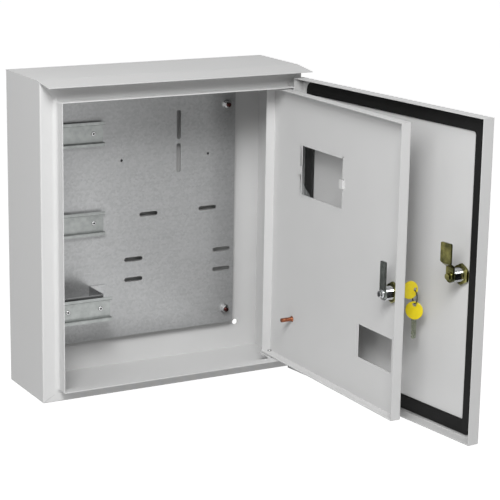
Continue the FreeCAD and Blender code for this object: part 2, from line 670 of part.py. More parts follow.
def hollow_rivet(x, z, face_y, grip):
    """Blind rivet with a domed head on face_y and a short tail past the sheets that it grips."""
    head = rod(V(x, face_y - RIVET_HEAD_HEIGHT, z), Y_DIR, RIVET_HEAD_HEIGHT, RIVET_HEAD_RADIUS)
    front = [e for e in head.Edges if e.BoundBox.YMax < face_y - RIVET_HEAD_HEIGHT / 2]
    head = head.makeFillet(RIVET_HEAD_HEIGHT * 0.7, front)
    length = grip + RIVET_TAIL
    body = head.fuse(rod(V(x, face_y, z), Y_DIR, length, RIVET_SHANK_RADIUS)).removeSplitter()
    bore = rod(V(x, face_y - RIVET_HEAD_HEIGHT, z), Y_DIR, RIVET_HEAD_HEIGHT + length, RIVET_BORE_RADIUS)
    return body.cut(bore)


def rail_nodes():
    """Nodes of the three rails, the stand and the rivets."""
    stand_front = PLATE_FRONT - STAND_DEPTH
    rivets = [hollow_rivet(x, z, PLATE_FRONT - RAIL_SHEET, RAIL_SHEET + PLATE_SHEET)
              for rail_z in (UPPER_RAIL_Z, MIDDLE_RAIL_Z) for x, z in rail_rivet_places(UPPER_RAIL_X, rail_z)]
    rivets += [hollow_rivet(x, z, stand_front - RAIL_SHEET, RAIL_SHEET + STAND_SHEET)
               for x, z in rail_rivet_places(STAND_RAIL_X, STAND_RAIL_Z)]
    rivets += [hollow_rivet(x, z, PLATE_FRONT - STAND_SHEET, STAND_SHEET + PLATE_SHEET)
               for x, z in stand_rivet_places()]
    return {
        "upper_rail": make_rail(UPPER_RAIL_X, UPPER_RAIL_Z, PLATE_FRONT),
        "middle_rail": make_rail(UPPER_RAIL_X, MIDDLE_RAIL_Z, PLATE_FRONT),
        "lower_rail": make_rail(STAND_RAIL_X, STAND_RAIL_Z, stand_front),
        "rail_stand": make_rail_stand(),
        "rail_rivets": Part.makeCompound(rivets),
    }


# Locks, each built on its shut door

def barrel_section(x, z, y0, y1, gap):
    """Round barrel with two flats, grown all round by a gap."""
    flat = BARREL_FLAT + gap
    return rod(V(x, y0, z), Y_DIR, y1 - y0, BARREL_RADIUS + gap).common(
        block(x - flat, x + flat, y0, y1, z - 2 * flat, z + 2 * flat))


def make_lock_body(x, z, face_y, barrel_length):
    """Bezel outside the door and the barrel through it, bored for the plug."""
    bezel = rod(V(x, face_y - BEZEL_HEIGHT, z), Y_DIR, BEZEL_HEIGHT, BEZEL_RADIUS)
    front = [e for e in bezel.Edges if e.BoundBox.YMax < face_y - BEZEL_HEIGHT / 2]
    bezel = bezel.makeFillet(BEZEL_ROUND, front)
    body = bezel.fuse(barrel_section(x, z, face_y, face_y + barrel_length, 0)).removeSplitter()
    bore = rod(V(x, face_y - BEZEL_HEIGHT, z), Y_DIR, BEZEL_HEIGHT + barrel_length,
               PLUG_RADIUS + PLUG_RUNNING_GAP)
    return body.cut(bore)


def make_lock_plug(x, z, face_y, barrel_length):
    """Turning plug with a square end for the cam and a slot for the key."""
    front = face_y - BEZEL_HEIGHT
    end = face_y + barrel_length
    cam_back = end + CAM_RUNNING_GAP + CAM_SHEET
    half = PLUG_SQUARE / 2
    plug = rod(V(x, front, z), Y_DIR, end - front, PLUG_RADIUS)
    plug = plug.fuse(block(x - half, x + half, end, cam_back, z - half, z + half)).removeSplitter()
    screw_hole = rod(V(x, cam_back - CAM_SCREW_LENGTH, z), Y_DIR, CAM_SCREW_LENGTH, CAM_SCREW_RADIUS)
    thick = KEY_BLADE_THICKNESS / 2 + KEY_SLOT_GAP
    wide = KEY_BLADE_WIDTH / 2 + KEY_SLOT_GAP
    key_slot = block(x - thick, x + thick, front, face_y + KEY_TIP_DEPTH + KEY_SLOT_GAP, z - wide, z + wide)
    return plug.cut(screw_hole).cut(key_slot)


def edges_along_y(shape, z0, z1):
    """A shape's straight edges along Y between two heights."""
    return [e for e in shape.Edges if abs(e.tangentAt(e.FirstParameter).y) > 0.5
            and z0 < e.BoundBox.ZMin and e.BoundBox.ZMax < z1]


def cam_outline(x, z, length, neck, blade, y0, y1):
    """Cam blank that points up from the lock's axis: round at the lock, square at the tip."""
    foot = z - neck / 2 - CAM_END_ROOM
    outline = block(x - neck / 2, x + neck / 2, y0, y1, foot, z + length)
    outline = outline.makeFillet(neck / 2 * 0.999, edges_along_y(outline, foot - neck, z))
    if blade > neck:
        wide = block(x - blade / 2, x + blade / 2, y0, y1, z + CAM_CRANK_END, z + length)
        low = edges_along_y(wide, z, z + length - CAM_TIP_RADIUS)
        outline = outline.fuse(wide.makeFillet((blade - neck) / 2, low)).removeSplitter()
    tip = edges_along_y(outline, z + length - CAM_TIP_RADIUS, z + 2 * length)
    return outline.makeFillet(CAM_TIP_RADIUS, tip)


def make_cam(x, z, face_y, barrel_length, length, neck, blade, crank):
    """Cam on the plug's square end, cranked away from the door where crank isn't zero."""
    front = face_y + barrel_length + CAM_RUNNING_GAP
    back = front + CAM_SHEET
    blank = cam_outline(x, z, length, neck, blade, front, back + crank)
    if crank:
        path = [(back, z - blade), (back, z + CAM_CRANK_START), (back + crank, z + CAM_CRANK_END),
                (back + crank, z + length + blade)]
        corner = V(x - blade / 2, 0, 0)
        strip = folded_strip(path, CAM_SHEET, CAM_BEND_RADIUS, blade, corner, Y_DIR, Z_DIR)
        blank = strip.common(blank)
    half = PLUG_SQUARE / 2
    return blank.cut(block(x - half, x + half, front, back, z - half, z + half))


def make_cam_screw(x, z, face_y, barrel_length):
    """Hexagon flange screw that holds the cam on the plug."""
    seat = V(x, face_y + barrel_length + CAM_RUNNING_GAP + CAM_SHEET, z)
    flange = rod(seat, Y_DIR, CAM_SCREW_FLANGE_HEIGHT, CAM_SCREW_FLANGE_RADIUS)
    far = [e for e in flange.Edges if e.BoundBox.YMin > seat.y + CAM_SCREW_FLANGE_HEIGHT / 2]
    flange = flange.makeFillet(CAM_SCREW_FLANGE_HEIGHT / 2, far)
    head = hex_block(seat, Y_DIR, CAM_SCREW_ACROSS_FLATS, CAM_SCREW_HEAD_HEIGHT)
    shank = rod(seat, -Y_DIR, CAM_SCREW_LENGTH, CAM_SCREW_RADIUS)
    return flange.fuse(head).fuse(shank).removeSplitter()


def lock_nodes(prefix, x, z, face_y, barrel_length, cam_size):
    """The five pieces of one cam lock on a shut door, with a cam of (length, neck, blade, crank)."""
    nut_seat = V(x, face_y + SHEET, z)
    return {
        prefix + "_lock_body": make_lock_body(x, z, face_y, barrel_length),
        prefix + "_lock_nut": hex_nut(nut_seat, Y_DIR, LOCK_NUT_ACROSS_FLATS, LOCK_NUT_HEIGHT, BARREL_RADIUS),
        prefix + "_lock_plug": make_lock_plug(x, z, face_y, barrel_length),
        prefix + "_lock_cam": make_cam(x, z, face_y, barrel_length, *cam_size),
        prefix + "_lock_screw": make_cam_screw(x, z, face_y, barrel_length),
    }


# Outer door

def make_outer_door():
    """Outer door tray with its lock hole and notches for the hinge lugs."""
    door = tray(OUTER_LEFT, OUTER_RIGHT, OUTER_LOW, OUTER_HIGH, OUTER_FACE, OUTER_TIP)
    door = door.cut(barrel_section(OUTER_LOCK_X, OUTER_LOCK_Z, OUTER_FACE, OUTER_INNER_FACE, BARREL_HOLE_GAP))
    half = LUG_THICKNESS / 2 + NOTCH_ROOM
    for z in OUTER_HINGE_ZS:
        door = door.cut(block(OUTER_RIGHT - SHEET, OUTER_RIGHT, OUTER_INNER_FACE, OUTER_TIP,
                              z - half, z + half))
    return door


def make_gasket():
    """Flat seal on the door's inner face, centred on the rim's edge."""
    grow = GASKET_WIDTH / 2 - SHEET / 2
    shrink = GASKET_WIDTH / 2 + SHEET / 2
    y0, y1 = OUTER_INNER_FACE, OUTER_INNER_FACE + GASKET_THICKNESS
    outer = rounded_block(RIM_LEFT - grow, RIM_RIGHT + grow, y0, y1, RIM_LOW - grow, RIM_HIGH + grow,
                          GASKET_CORNER_RADIUS)
    inner = rounded_block(RIM_LEFT + shrink, RIM_RIGHT - shrink, y0, y1, RIM_LOW + shrink, RIM_HIGH - shrink,
                          GASKET_INNER_RADIUS)
    return outer.cut(inner)


def make_hinge_leaves():
    """U-shaped leaves on the outer door, with an arm above and below each lug."""
    leaves = []
    web = OUTER_INNER_FACE + LEAF_SHEET
    end = OUTER_PIN_Y + LEAF_ARM_RADIUS
    half = LUG_THICKNESS / 2 + LEAF_ARM_GAP
    x0, x1 = OUTER_PIN_X - LEAF_ARM_RADIUS, OUTER_PIN_X + LEAF_ARM_RADIUS
    for z in OUTER_HINGE_ZS:
        path = [(end, z - half), (web, z - half), (web, z + half), (end, z + half)]
        leaf = folded_strip(path, LEAF_SHEET, LEAF_ARM_GAP, x1 - x0, V(x0, 0, 0), Y_DIR, Z_DIR)
        low, tall = z - half - LEAF_SHEET, 2 * (half + LEAF_SHEET)
        pin_foot = V(OUTER_PIN_X, OUTER_PIN_Y, low)
        outline = block(x0, x1, OUTER_INNER_FACE, OUTER_PIN_Y, low, low + tall)
        outline = outline.fuse(rod(pin_foot, Z_DIR, tall, LEAF_ARM_RADIUS))
        leaves.append(leaf.common(outline).cut(rod(pin_foot, Z_DIR, tall, PIN_RADIUS + PIN_RUNNING_GAP)))
    return Part.makeCompound(leaves)


def outer_door_nodes():
    """Nodes of the outer door, swung open."""
    shut = {
        "outer_door": make_outer_door(),
        "door_gasket": make_gasket(),
        "outer_hinge_leaves": make_hinge_leaves(),
    }
    shut.update(lock_nodes("outer", OUTER_LOCK_X, OUTER_LOCK_Z, OUTER_FACE, OUTER_BARREL_LENGTH,
                           (OUTER_CAM_LENGTH, OUTER_CAM_NECK, OUTER_CAM_BLADE, OUTER_CAM_CRANK)))
    return {name: open_outer(shape) for name, shape in shut.items()}


# Inner door

def window_box(x, width, z, height, y0, y1, lap):
    """Box over a window in the inner door, grown by a lap."""
    half_x, half_z = width / 2 + lap, height / 2 + lap
    return (x - half_x, x + half_x, y0, y1, z - half_z, z + half_z)


def pane_box():
    """Box of the clear pane that lies on the door's inner face."""
    back = INNER_FACE + SHEET
    return window_box(METER_WINDOW_X, METER_WINDOW_WIDTH, METER_WINDOW_Z, METER_WINDOW_HEIGHT,
                      back, back + PANE_THICKNESS, PANE_LAP)


def pane_tabs():
    """Two hooked tabs, lanced from the door, that hold the pane at mid-height."""
    x0, x1, y0, y1 = pane_box()[:4]
    low, high = METER_WINDOW_Z - PANE_TAB_HEIGHT / 2, METER_WINDOW_Z + PANE_TAB_HEIGHT / 2
    over = y1 + PANE_GAP
    tabs = []
    for edge, side in ((x0 - PANE_GAP, 1), (x1 + PANE_GAP, -1)):
        root, lap = edge - side * SHEET, edge + side * PANE_TAB_LAP
        rise = block(min(root, edge), max(root, edge), y0, over + SHEET, low, high)
        tabs.append(rise.fuse(block(min(root, lap), max(root, lap), over, over + SHEET, low, high)))
    return tabs


def make_inner_door():
    """Inner door tray with a meter window, a breaker window, a lock hole and pin holes."""
    back = INNER_FACE + SHEET
    door = tray(INNER_LEFT, INNER_RIGHT, INNER_LOW, INNER_HIGH, INNER_FACE, INNER_TIP)
    door = door.cut(block(*window_box(METER_WINDOW_X, METER_WINDOW_WIDTH, METER_WINDOW_Z,
                                      METER_WINDOW_HEIGHT, INNER_FACE, back, 0)))
    door = door.cut(block(*window_box(BREAKER_WINDOW_X, BREAKER_WINDOW_WIDTH, BREAKER_WINDOW_Z,
                                      BREAKER_WINDOW_HEIGHT, INNER_FACE, back, 0)))
    door = door.cut(barrel_section(INNER_LOCK_X, INNER_LOCK_Z, INNER_FACE, back, BARREL_HOLE_GAP))
    door = door.cut(rod(V(INNER_PIN_X, INNER_PIN_Y, BOTTOM), Z_DIR, HEIGHT, PIN_RADIUS + PIN_RUNNING_GAP))
    for tab in pane_tabs():
        door = door.fuse(tab)
    return door.removeSplitter()


def make_earth_stud():
    """Copper-plated weld stud on the inner door."""
    base = V(EARTH_STUD_X, INNER_FACE + SHEET, EARTH_STUD_Z)
    collar = rod(base, Y_DIR, EARTH_STUD_COLLAR_HEIGHT, EARTH_STUD_COLLAR)
    return collar.fuse(rod(base, Y_DIR, EARTH_STUD_LENGTH, STUD_RADIUS)).removeSplitter()


# Keys

def make_key_head():
    """Round key grip at the origin: its plane is YZ, its hole is at -Y and its blade leaves at +Y."""
    half = KEY_HEAD_THICKNESS / 2
    head = rod(V(-half, 0, 0), X_DIR, KEY_HEAD_THICKNESS, KEY_HEAD_RADIUS)
    rounds = [e for e in head.Edges if isinstance(e.Curve, Part.Circle)]
    head = head.makeFillet(KEY_HEAD_ROUND, rounds)
    hole = rod(V(-half, KEY_HOLE_FROM_EDGE - KEY_HEAD_RADIUS, 0), X_DIR, KEY_HEAD_THICKNESS, KEY_HOLE_RADIUS)
    return head.cut(hole).cut(make_key_blade())


def make_key_blade():
    """Flat key blade with a pointed tip, rooted in the grip."""
    half = KEY_BLADE_WIDTH / 2
    root = KEY_HEAD_RADIUS - KEY_BLADE_IN_HEAD
    tip = KEY_HEAD_RADIUS + KEY_BLADE_LENGTH
    x = -KEY_BLADE_THICKNESS / 2
    points = [V(x, root, -half), V(x, tip - KEY_BLADE_TIP, -half), V(x, tip, 0),
              V(x, tip - KEY_BLADE_TIP, half), V(x, root, half), V(x, root, -half)]
    return Part.Face(Part.makePolygon(points)).extrude(V(KEY_BLADE_THICKNESS, 0, 0))


def key_nodes():
    """The key in the inner lock, and the ring and spare key that hang from it."""
    hole_reach = KEY_HEAD_RADIUS - KEY_HOLE_FROM_EDGE
    head = V(INNER_LOCK_X, INNER_FACE - KEY_HEAD_OFFSET, INNER_LOCK_Z)
    in_lock = FreeCAD.Placement(head, FreeCAD.Rotation())
    hole = head - Y_DIR * hole_reach
    ring_centre = hole - Z_DIR * (RING_HANG + RING_RADIUS)
    ring_axis = FreeCAD.Rotation(Z_DIR, RING_TWIST).multVec(Y_DIR)
    ring = Part.makeTorus(RING_RADIUS, RING_WIRE_RADIUS, ring_centre, ring_axis)
    spare_centre = ring_centre - Z_DIR * (RING_RADIUS + RING_HANG + hole_reach)
    hang_down = FreeCAD.Rotation(Z_DIR, SPARE_KEY_TWIST).multiply(FreeCAD.Rotation(X_DIR, -90))
    hanging = FreeCAD.Placement(spare_centre, hang_down)
    nodes = {"key_ring": ring}
    for prefix, place in (("key", in_lock), ("spare_key", hanging)):
        for name, shape in (("_head", make_key_head()), ("_blade", make_key_blade())):
            shape.Placement = place
            nodes[prefix + name] = shape
    return nodes


def inner_door_nodes():
    """Nodes of the inner door, swung open."""
    shut = {
        "inner_door": make_inner_door(),
        "meter_window_pane": rounded_block(*pane_box(), PANE_CORNER_RADIUS),
        "earth_stud": make_earth_stud(),
    }
    shut.update(lock_nodes("inner", INNER_LOCK_X, INNER_LOCK_Z, INNER_FACE, INNER_BARREL_LENGTH,
                           (INNER_CAM_LENGTH, INNER_CAM_WIDTH, INNER_CAM_WIDTH, 0)))
    shut.update(key_nodes())
    return {name: open_inner(shape) for name, shape in shut.items()}


def main():
    """Builds every node and writes one STEP file each."""
    os.makedirs("parts", exist_ok=True)
    nodes = {}
    for group in (cabinet_nodes, plate_nodes, rail_nodes, outer_door_nodes, inner_door_nodes):
        nodes.update(group())
    for name, shape in nodes.items():
        shape.exportStep("parts/%s.step" % name)
        print(name, "valid" if shape.isValid() else "INVALID", len(shape.Solids), round(shape.Volume, 1))


main()
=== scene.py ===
"""Looks of a wall-mounted electric meter box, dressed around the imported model.

Lengths are metres in the model's frame: the origin is the centre of the back face, +Z is up and
the front faces -Y. Pieces on a door are modelled on the shut door and swung open about its pins.
"""

import json
import logging
import math
from dataclasses import dataclass
from enum import Enum
from typing import Dict, Iterable, List, Sequence, Tuple, Union

import bmesh
import bpy
from mathutils import Matrix, Vector

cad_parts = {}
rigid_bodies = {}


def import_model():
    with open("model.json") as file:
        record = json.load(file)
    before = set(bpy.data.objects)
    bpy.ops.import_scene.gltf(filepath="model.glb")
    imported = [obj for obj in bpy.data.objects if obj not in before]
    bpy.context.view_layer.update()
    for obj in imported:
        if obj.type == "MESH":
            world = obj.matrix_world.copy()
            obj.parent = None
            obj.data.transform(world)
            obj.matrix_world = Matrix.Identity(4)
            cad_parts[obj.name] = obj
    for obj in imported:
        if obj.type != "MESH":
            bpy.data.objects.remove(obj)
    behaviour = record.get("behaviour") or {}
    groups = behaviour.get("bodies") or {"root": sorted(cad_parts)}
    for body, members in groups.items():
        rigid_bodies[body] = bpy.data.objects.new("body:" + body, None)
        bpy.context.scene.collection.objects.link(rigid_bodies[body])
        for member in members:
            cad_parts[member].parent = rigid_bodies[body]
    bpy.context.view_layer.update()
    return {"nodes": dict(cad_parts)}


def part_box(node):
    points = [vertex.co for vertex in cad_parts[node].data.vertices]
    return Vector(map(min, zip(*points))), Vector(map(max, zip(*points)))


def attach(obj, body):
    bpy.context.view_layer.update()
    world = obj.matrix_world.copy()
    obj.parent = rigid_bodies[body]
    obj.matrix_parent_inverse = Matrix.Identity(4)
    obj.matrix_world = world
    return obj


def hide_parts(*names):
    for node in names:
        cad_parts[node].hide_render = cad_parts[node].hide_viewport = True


Colour = Tuple[float, float, float]
Point = Tuple[float, float, float]
Span = Tuple[float, float]
Profile = List[Tuple[float, float]]
Nodes = Dict[str, bpy.types.Object]
Shape = bmesh.types.BMesh
Element = Union[bmesh.types.BMVert, bmesh.types.BMEdge]
Socket = bpy.types.NodeSocket
Value = Union[float, Sequence[float], Socket]

LOG = logging.getLogger("meter_box")
MM = 0.001
SMOOTH_ANGLE = math.radians(35)
WELD_DISTANCE = 1e-7
ORDER_DIGITS = 7
WHITE = (1.0, 1.0, 1.0)

# Octaves of a noise, and the span that most of its values lie in.
FINE, CLOUDY, BLOTCHY = 2.0, 3.0, 4.0
NOISE_LOW, NOISE_HIGH = 0.3, 0.7

# Colour sockets of a mix node.
MIX_FACTOR, MIX_FIRST, MIX_SECOND, MIX_RESULT = 0, 6, 7, 2

# Start and end of a thread's crest, as shares of its pitch.
THREAD_CREST = (0.4, 0.6)

# A face is a side where its normal's share along the sheet's axis is below the first value, and
# part of the flat where it is above the second.
SIDE_LEAN, FLAT_LEAN = 0.5, 0.9

Z_TO_FRONT = Matrix.Rotation(math.pi / 2, 4, "X")
Z_TO_BACK = Matrix.Rotation(-math.pi / 2, 4, "X")


class Grain(Enum):
    """Direction in which a sheet was rolled or brushed, as the pattern's scale on each axis."""

    ALONG_X = (0.02, 1.0, 1.0)
    ALONG_Z = (1.0, 1.0, 0.02)
    EVEN = (1.0, 1.0, 1.0)


class Graph:
    """A material's node tree with short calls for the patterns that the finishes share."""

    def __init__(self, name: str) -> None:
        """Starts a material with one principled shader.

        Args:
            name: The material's name.
        """
        self.material = bpy.data.materials.new(name)
        self.material.use_nodes = True
        self.tree = self.material.node_tree
        self.shader = next(n for n in self.tree.nodes if n.type == "BSDF_PRINCIPLED")
        self.point = self.tree.nodes.new("ShaderNodeTexCoord").outputs["Object"]

    def put(self, socket: Socket, value: Value) -> None:
        """Links a socket, or sets its value.

        Args:
            socket: The input to feed.
            value: A number, a colour, a vector or another node's output.
        """
        if isinstance(value, Socket):
            self.tree.links.new(value, socket)
        elif isinstance(value, (int, float)):
            socket.default_value = value
        elif socket.type == "RGBA":
            socket.default_value = (*value[:3], 1.0)
        else:
            socket.default_value = value

    def feed(self, node: bpy.types.Node, inputs: Dict[str, Value]) -> bpy.types.Node:
        """Feeds a node's inputs.

        Args:
            node: The node to feed.
            inputs: Values by socket name, with underscores for spaces.

        Returns:
            The same node.
        """
        for name, value in inputs.items():
            self.put(node.inputs[name.replace("_", " ")], value)
        return node

    def shade(self, **inputs: Value) -> None:
        """Feeds the principled shader.

        Args:
            **inputs: Values by socket name, with underscores for spaces.
        """
        self.feed(self.shader, inputs)

    def node(self, kind: str, **inputs: Value) -> bpy.types.Node:
        """Adds a node and feeds it.

        Args:
            kind: Blender's name of the node type.
            **inputs: Values by socket name, with underscores for spaces.

        Returns:
            The new node.
        """
        return self.feed(self.tree.nodes.new(kind), inputs)

    def noise(self, scale: float, detail: float, grain: Grain = Grain.EVEN) -> Socket:
        """Soft noise from 0 to 1.

        Args:
            scale: Cycles per metre.
            detail: Octaves.
            grain: Direction in which the noise is drawn out.

        Returns:
            The noise's factor.
        """
        drawn = self.node("ShaderNodeMapping", Vector=self.point, Scale=grain.value)
        pattern = self.node("ShaderNodeTexNoise", Vector=drawn.outputs["Vector"], Scale=scale,
                            Detail=detail)
        return pattern.outputs["Fac"]

    def flakes(self, scale: float) -> Socket:
        """Crystal cells, each with its own grey from 0 to 1.

        Args:
            scale: Cells per metre.

        Returns:
            The grey.
        """
        cells = self.node("ShaderNodeTexVoronoi", Vector=self.point, Scale=scale)
        parts = self.node("ShaderNodeSeparateColor", Color=cells.outputs["Color"])
        return parts.outputs["Red"]

    def span(self, factor: Socket, low: float, high: float) -> Socket:
        """Maps the usual span of a noise onto a span of values.

        Args:
            factor: The noise.
            low: Value at the noise's low end.
            high: Value at its high end.

        Returns:
            The value.
        """
        mapped = self.node("ShaderNodeMapRange", Value=factor, From_Min=NOISE_LOW,
                           From_Max=NOISE_HIGH, To_Min=low, To_Max=high)
        return mapped.outputs["Result"]

    def blend(self, factor: Value, first: Value, second: Value) -> Socket:
        """Colour between two colours.

        Args:
            factor: 0 for the first and 1 for the second.
            first: A colour or a colour output.
            second: A colour or a colour output.

        Returns:
            The mixed colour.
        """
        mix = self.tree.nodes.new("ShaderNodeMix")
        mix.data_type = "RGBA"
        self.put(mix.inputs[MIX_FACTOR], factor)
        self.put(mix.inputs[MIX_FIRST], first)
        self.put(mix.inputs[MIX_SECOND], second)
        return mix.outputs[MIX_RESULT]

    def bump(self, height: Socket, distance: float) -> Socket:
        """Surface relief from a height.

        Args:
            height: Height from 0 to 1.
            distance: Depth of the relief in metres.

        Returns:
            The bent normal.
        """
        relief = self.node("ShaderNodeBump", Height=height, Distance=distance, Strength=1.0)
        return relief.outputs["Normal"]


@dataclass(frozen=True)
class Finish:
    """A surface finish that makes its own material once."""

    name: str

    def material(self) -> bpy.types.Material:
        """Finds the finish's material, or makes it on first use.

        Returns:
            The material.
        """
        known = bpy.data.materials.get(self.name)
        if known is not None:
            return known
        graph = Graph(self.name)
        self.lay(graph)
        return graph.material

    def lay(self, graph: Graph) -> None:
        """Lays the finish on a new material.

        Args:
            graph: The material's graph.
        """
        raise NotImplementedError


@dataclass(frozen=True)
class PowderCoat(Finish):
    """Baked paint with a fine orange-peel skin and slight clouding."""

    colour: Colour = (0.6, 0.6, 0.598)
    shade_colour: Colour = (0.565, 0.566, 0.564)
    roughness: Span = (0.44, 0.54)
    reflection: float = 0.4
    cloud_scale: float = 14.0
    peel_scale: float = 620.0
    peel_depth: float = 0.06 * MM

    def lay(self, graph: Graph) -> None:
        """Lays cloudy colour, uneven gloss and orange peel.

        Args:
            graph: The material's graph.
        """
        cloud = graph.noise(self.cloud_scale, CLOUDY)
        peel = graph.noise(self.peel_scale, FINE)
        graph.shade(Base_Color=graph.blend(cloud, self.shade_colour, self.colour),
                    Roughness=graph.span(cloud, *self.roughness),
                    Specular_IOR_Level=self.reflection, Normal=graph.bump(peel, self.peel_depth))


@dataclass(frozen=True)
class GalvanisedSheet(Finish):
    """Galvanised sheet with fine crystals, rolling lines and a dull bloom."""

    bright: Colour = (0.45, 0.455, 0.458)
    dull: Colour = (0.36, 0.364, 0.367)
    metal: float = 0.5
    roughness: Span = (0.278, 0.325)
    crystal_scale: float = 340.0
    bloom_scale: float = 12.0
    bloom_share: float = 0.35
    line_scale: float = 330.0
    line_share: float = 0.4
    line_depth: float = 0.012 * MM
    grain: Grain = Grain.ALONG_X

    def lay(self, graph: Graph) -> None:
        """Lays crystals, bloom and rolling lines on bare zinc.

        Args:
            graph: The material's graph.
        """
        crystals = graph.flakes(self.crystal_scale)
        bloom = graph.noise(self.bloom_scale, BLOTCHY)
        lines = graph.noise(self.line_scale, FINE, self.grain)
        tone = graph.blend(crystals, self.dull, self.bright)
        tone = graph.blend(graph.span(bloom, 0.0, self.bloom_share), tone, self.dull)
        tone = graph.blend(graph.span(lines, 0.0, self.line_share), tone, self.bright)
        graph.shade(Base_Color=tone, Metallic=self.metal,
                    Roughness=graph.span(bloom, *self.roughness),
                    Normal=graph.bump(lines, self.line_depth))


@dataclass(frozen=True)
class Plating(Finish):
    """Plated metal whose tint and gloss drift over the surface."""

    colour: Colour
    tint: Colour
    roughness: Span
    tint_scale: float = 120.0
    brush_scale: float = 900.0
    brush_depth: float = 0.012 * MM
    grain: Grain = Grain.EVEN
    metal: float = 1.0

    def lay(self, graph: Graph) -> None:
        """Lays drifting tint and fine brush marks on metal.

        Args:
            graph: The material's graph.
        """
        drift = graph.noise(self.tint_scale, CLOUDY)
        brush = graph.noise(self.brush_scale, FINE, self.grain)
        tone = graph.blend(graph.span(drift, 0.0, 1.0), self.colour, self.tint)
        graph.shade(Base_Color=tone, Metallic=self.metal,
                    Roughness=graph.span(brush, *self.roughness),
                    Normal=graph.bump(brush, self.brush_depth))


@dataclass(frozen=True)
class FoamRubber(Finish):
    """Black foamed seal with a closed skin."""

    colour: Colour = (0.005, 0.005, 0.005)
    worn: Colour = (0.012, 0.012, 0.012)
    roughness: Span = (0.6, 0.78)
    reflection: float = 0.16
    skin_scale: float = 40.0
    pore_scale: float = 1100.0
    pore_depth: float = 0.08 * MM

    def lay(self, graph: Graph) -> None:
        """Lays fine pores and a slightly greyed skin.

        Args:
            graph: The material's graph.
        """
        pores = graph.noise(self.pore_scale, FINE)
        skin = graph.noise(self.skin_scale, CLOUDY)
        graph.shade(Base_Color=graph.blend(skin, self.colour, self.worn),
                    Roughness=graph.span(skin, *self.roughness),
                    Specular_IOR_Level=self.reflection, Normal=graph.bump(pores, self.pore_depth))


@dataclass(frozen=True)
class ClearSheet(Finish):
    """Clear plastic film with faint handling marks."""

    haze: float = 0.01
    colour: Colour = (0.75, 0.77, 0.77)
    roughness: Span = (0.03, 0.09)
    mark_scale: float = 60.0

    def lay(self, graph: Graph) -> None:
        """Lays a thin see-through haze whose gloss is slightly uneven.

        Args:
            graph: The material's graph.
        """
        marks = graph.noise(self.mark_scale, BLOTCHY)
        graph.shade(Base_Color=self.colour, Roughness=graph.span(marks, *self.roughness),
                    Alpha=self.haze)


@dataclass(frozen=True)
class MouldedCover(Finish):
    """Bright moulded plastic with a satin skin."""

    colour: Colour = (0.8, 0.66, 0.012)
    deep: Colour = (0.68, 0.53, 0.008)
    roughness: Span = (0.32, 0.44)
    flow_scale: float = 150.0
    grain_scale: float = 1500.0
    grain_depth: float = 0.03 * MM

    def lay(self, graph: Graph) -> None:
        """Lays a saturated colour with a fine moulded grain.

        Args:
            graph: The material's graph.
        """
        grain = graph.noise(self.grain_scale, FINE)
        flow = graph.noise(self.flow_scale, FINE)
        graph.shade(Base_Color=graph.blend(flow, self.deep, self.colour),
                    Roughness=graph.span(flow, *self.roughness),
                    Normal=graph.bump(grain, self.grain_depth))


PAINT = PowderCoat("light_grey_powder_coat")
# Darker copy of the paint on the mitre seams: painted shade where the flange's corner creases are.
SEAM_SHADE_PAINT = PowderCoat("powder_coat_with_painted_seam_shade", (0.5, 0.5, 0.498), (0.45, 0.45, 0.448))
GALVANISED = GalvanisedSheet("galvanised_plate_sheet")
STAND_ZINC = GalvanisedSheet("galvanised_stand_sheet", metal=1.0)
RAIL_ZINC = Plating("bright_zinc_rails", (0.37, 0.385, 0.378), (0.29, 0.305, 0.298),
                    (0.276, 0.34), brush_depth=0.008 * MM, grain=Grain.ALONG_X, metal=0.92)
BRIGHT_ZINC = Plating("bright_zinc_hardware", (0.6, 0.6, 0.6), (0.5, 0.505, 0.51), (0.16, 0.26))
CAM_ZINC = Plating("bright_zinc_cam", (0.34, 0.36, 0.34), (0.17, 0.185, 0.17), (0.16, 0.28),
                   grain=Grain.ALONG_Z)
# Yellow zinc whose near-black tint blotches are partly the real uneven passivation and partly
# painted dark reflections on the gloss.
YELLOW_ZINC_WITH_PAINTED_REFLECTIONS = Plating("yellow_zinc_with_painted_dark_reflections", (0.3, 0.28, 0.1), (0.03, 0.035, 0.016), (0.1, 0.2),
                      tint_scale=75.0)
LOCK_CHROME = Plating("polished_lock_metal", (0.6, 0.61, 0.62), (0.5, 0.51, 0.52), (0.08, 0.18))
COPPER = Plating("copper_flashed_stud", (0.31, 0.115, 0.055), (0.15, 0.05, 0.03), (0.2, 0.36),
                 tint_scale=300.0)
# A darker copy of the stud copper: painted shade on the plate's studs, which sit in the cabinet's
# shade.
COPPER_IN_PAINTED_SHADE = Plating("copper_darkened_as_painted_shade", (0.1, 0.03, 0.026), (0.05, 0.02, 0.02),
                      (0.2, 0.34), tint_scale=300.0)
RING_STEEL = Plating("dark_ring_steel", (0.1, 0.098, 0.09), (0.06, 0.06, 0.058), (0.1, 0.18))
KEY_STEEL = Plating("nickel_key_blades", (0.46, 0.49, 0.4), (0.32, 0.35, 0.27), (0.2, 0.32),
                    metal=0.9)
# Near-black stem steel: the rivets' real broken stems, coloured as painted shade inside their
# bores.
STEM_STEEL_AS_PAINTED_BORE_SHADE = Plating("rivet_stems_in_painted_bore_shade", (0.04, 0.04, 0.04), (0.02, 0.02, 0.02), (0.35, 0.5))
SEAL_FOAM = FoamRubber("black_foam_seal")
WINDOW_SHEET = ClearSheet("clear_window_sheet")
FILM_SHEET = ClearSheet("peeling_film", haze=0.13)
KEY_COVER = MouldedCover("yellow_key_covers")


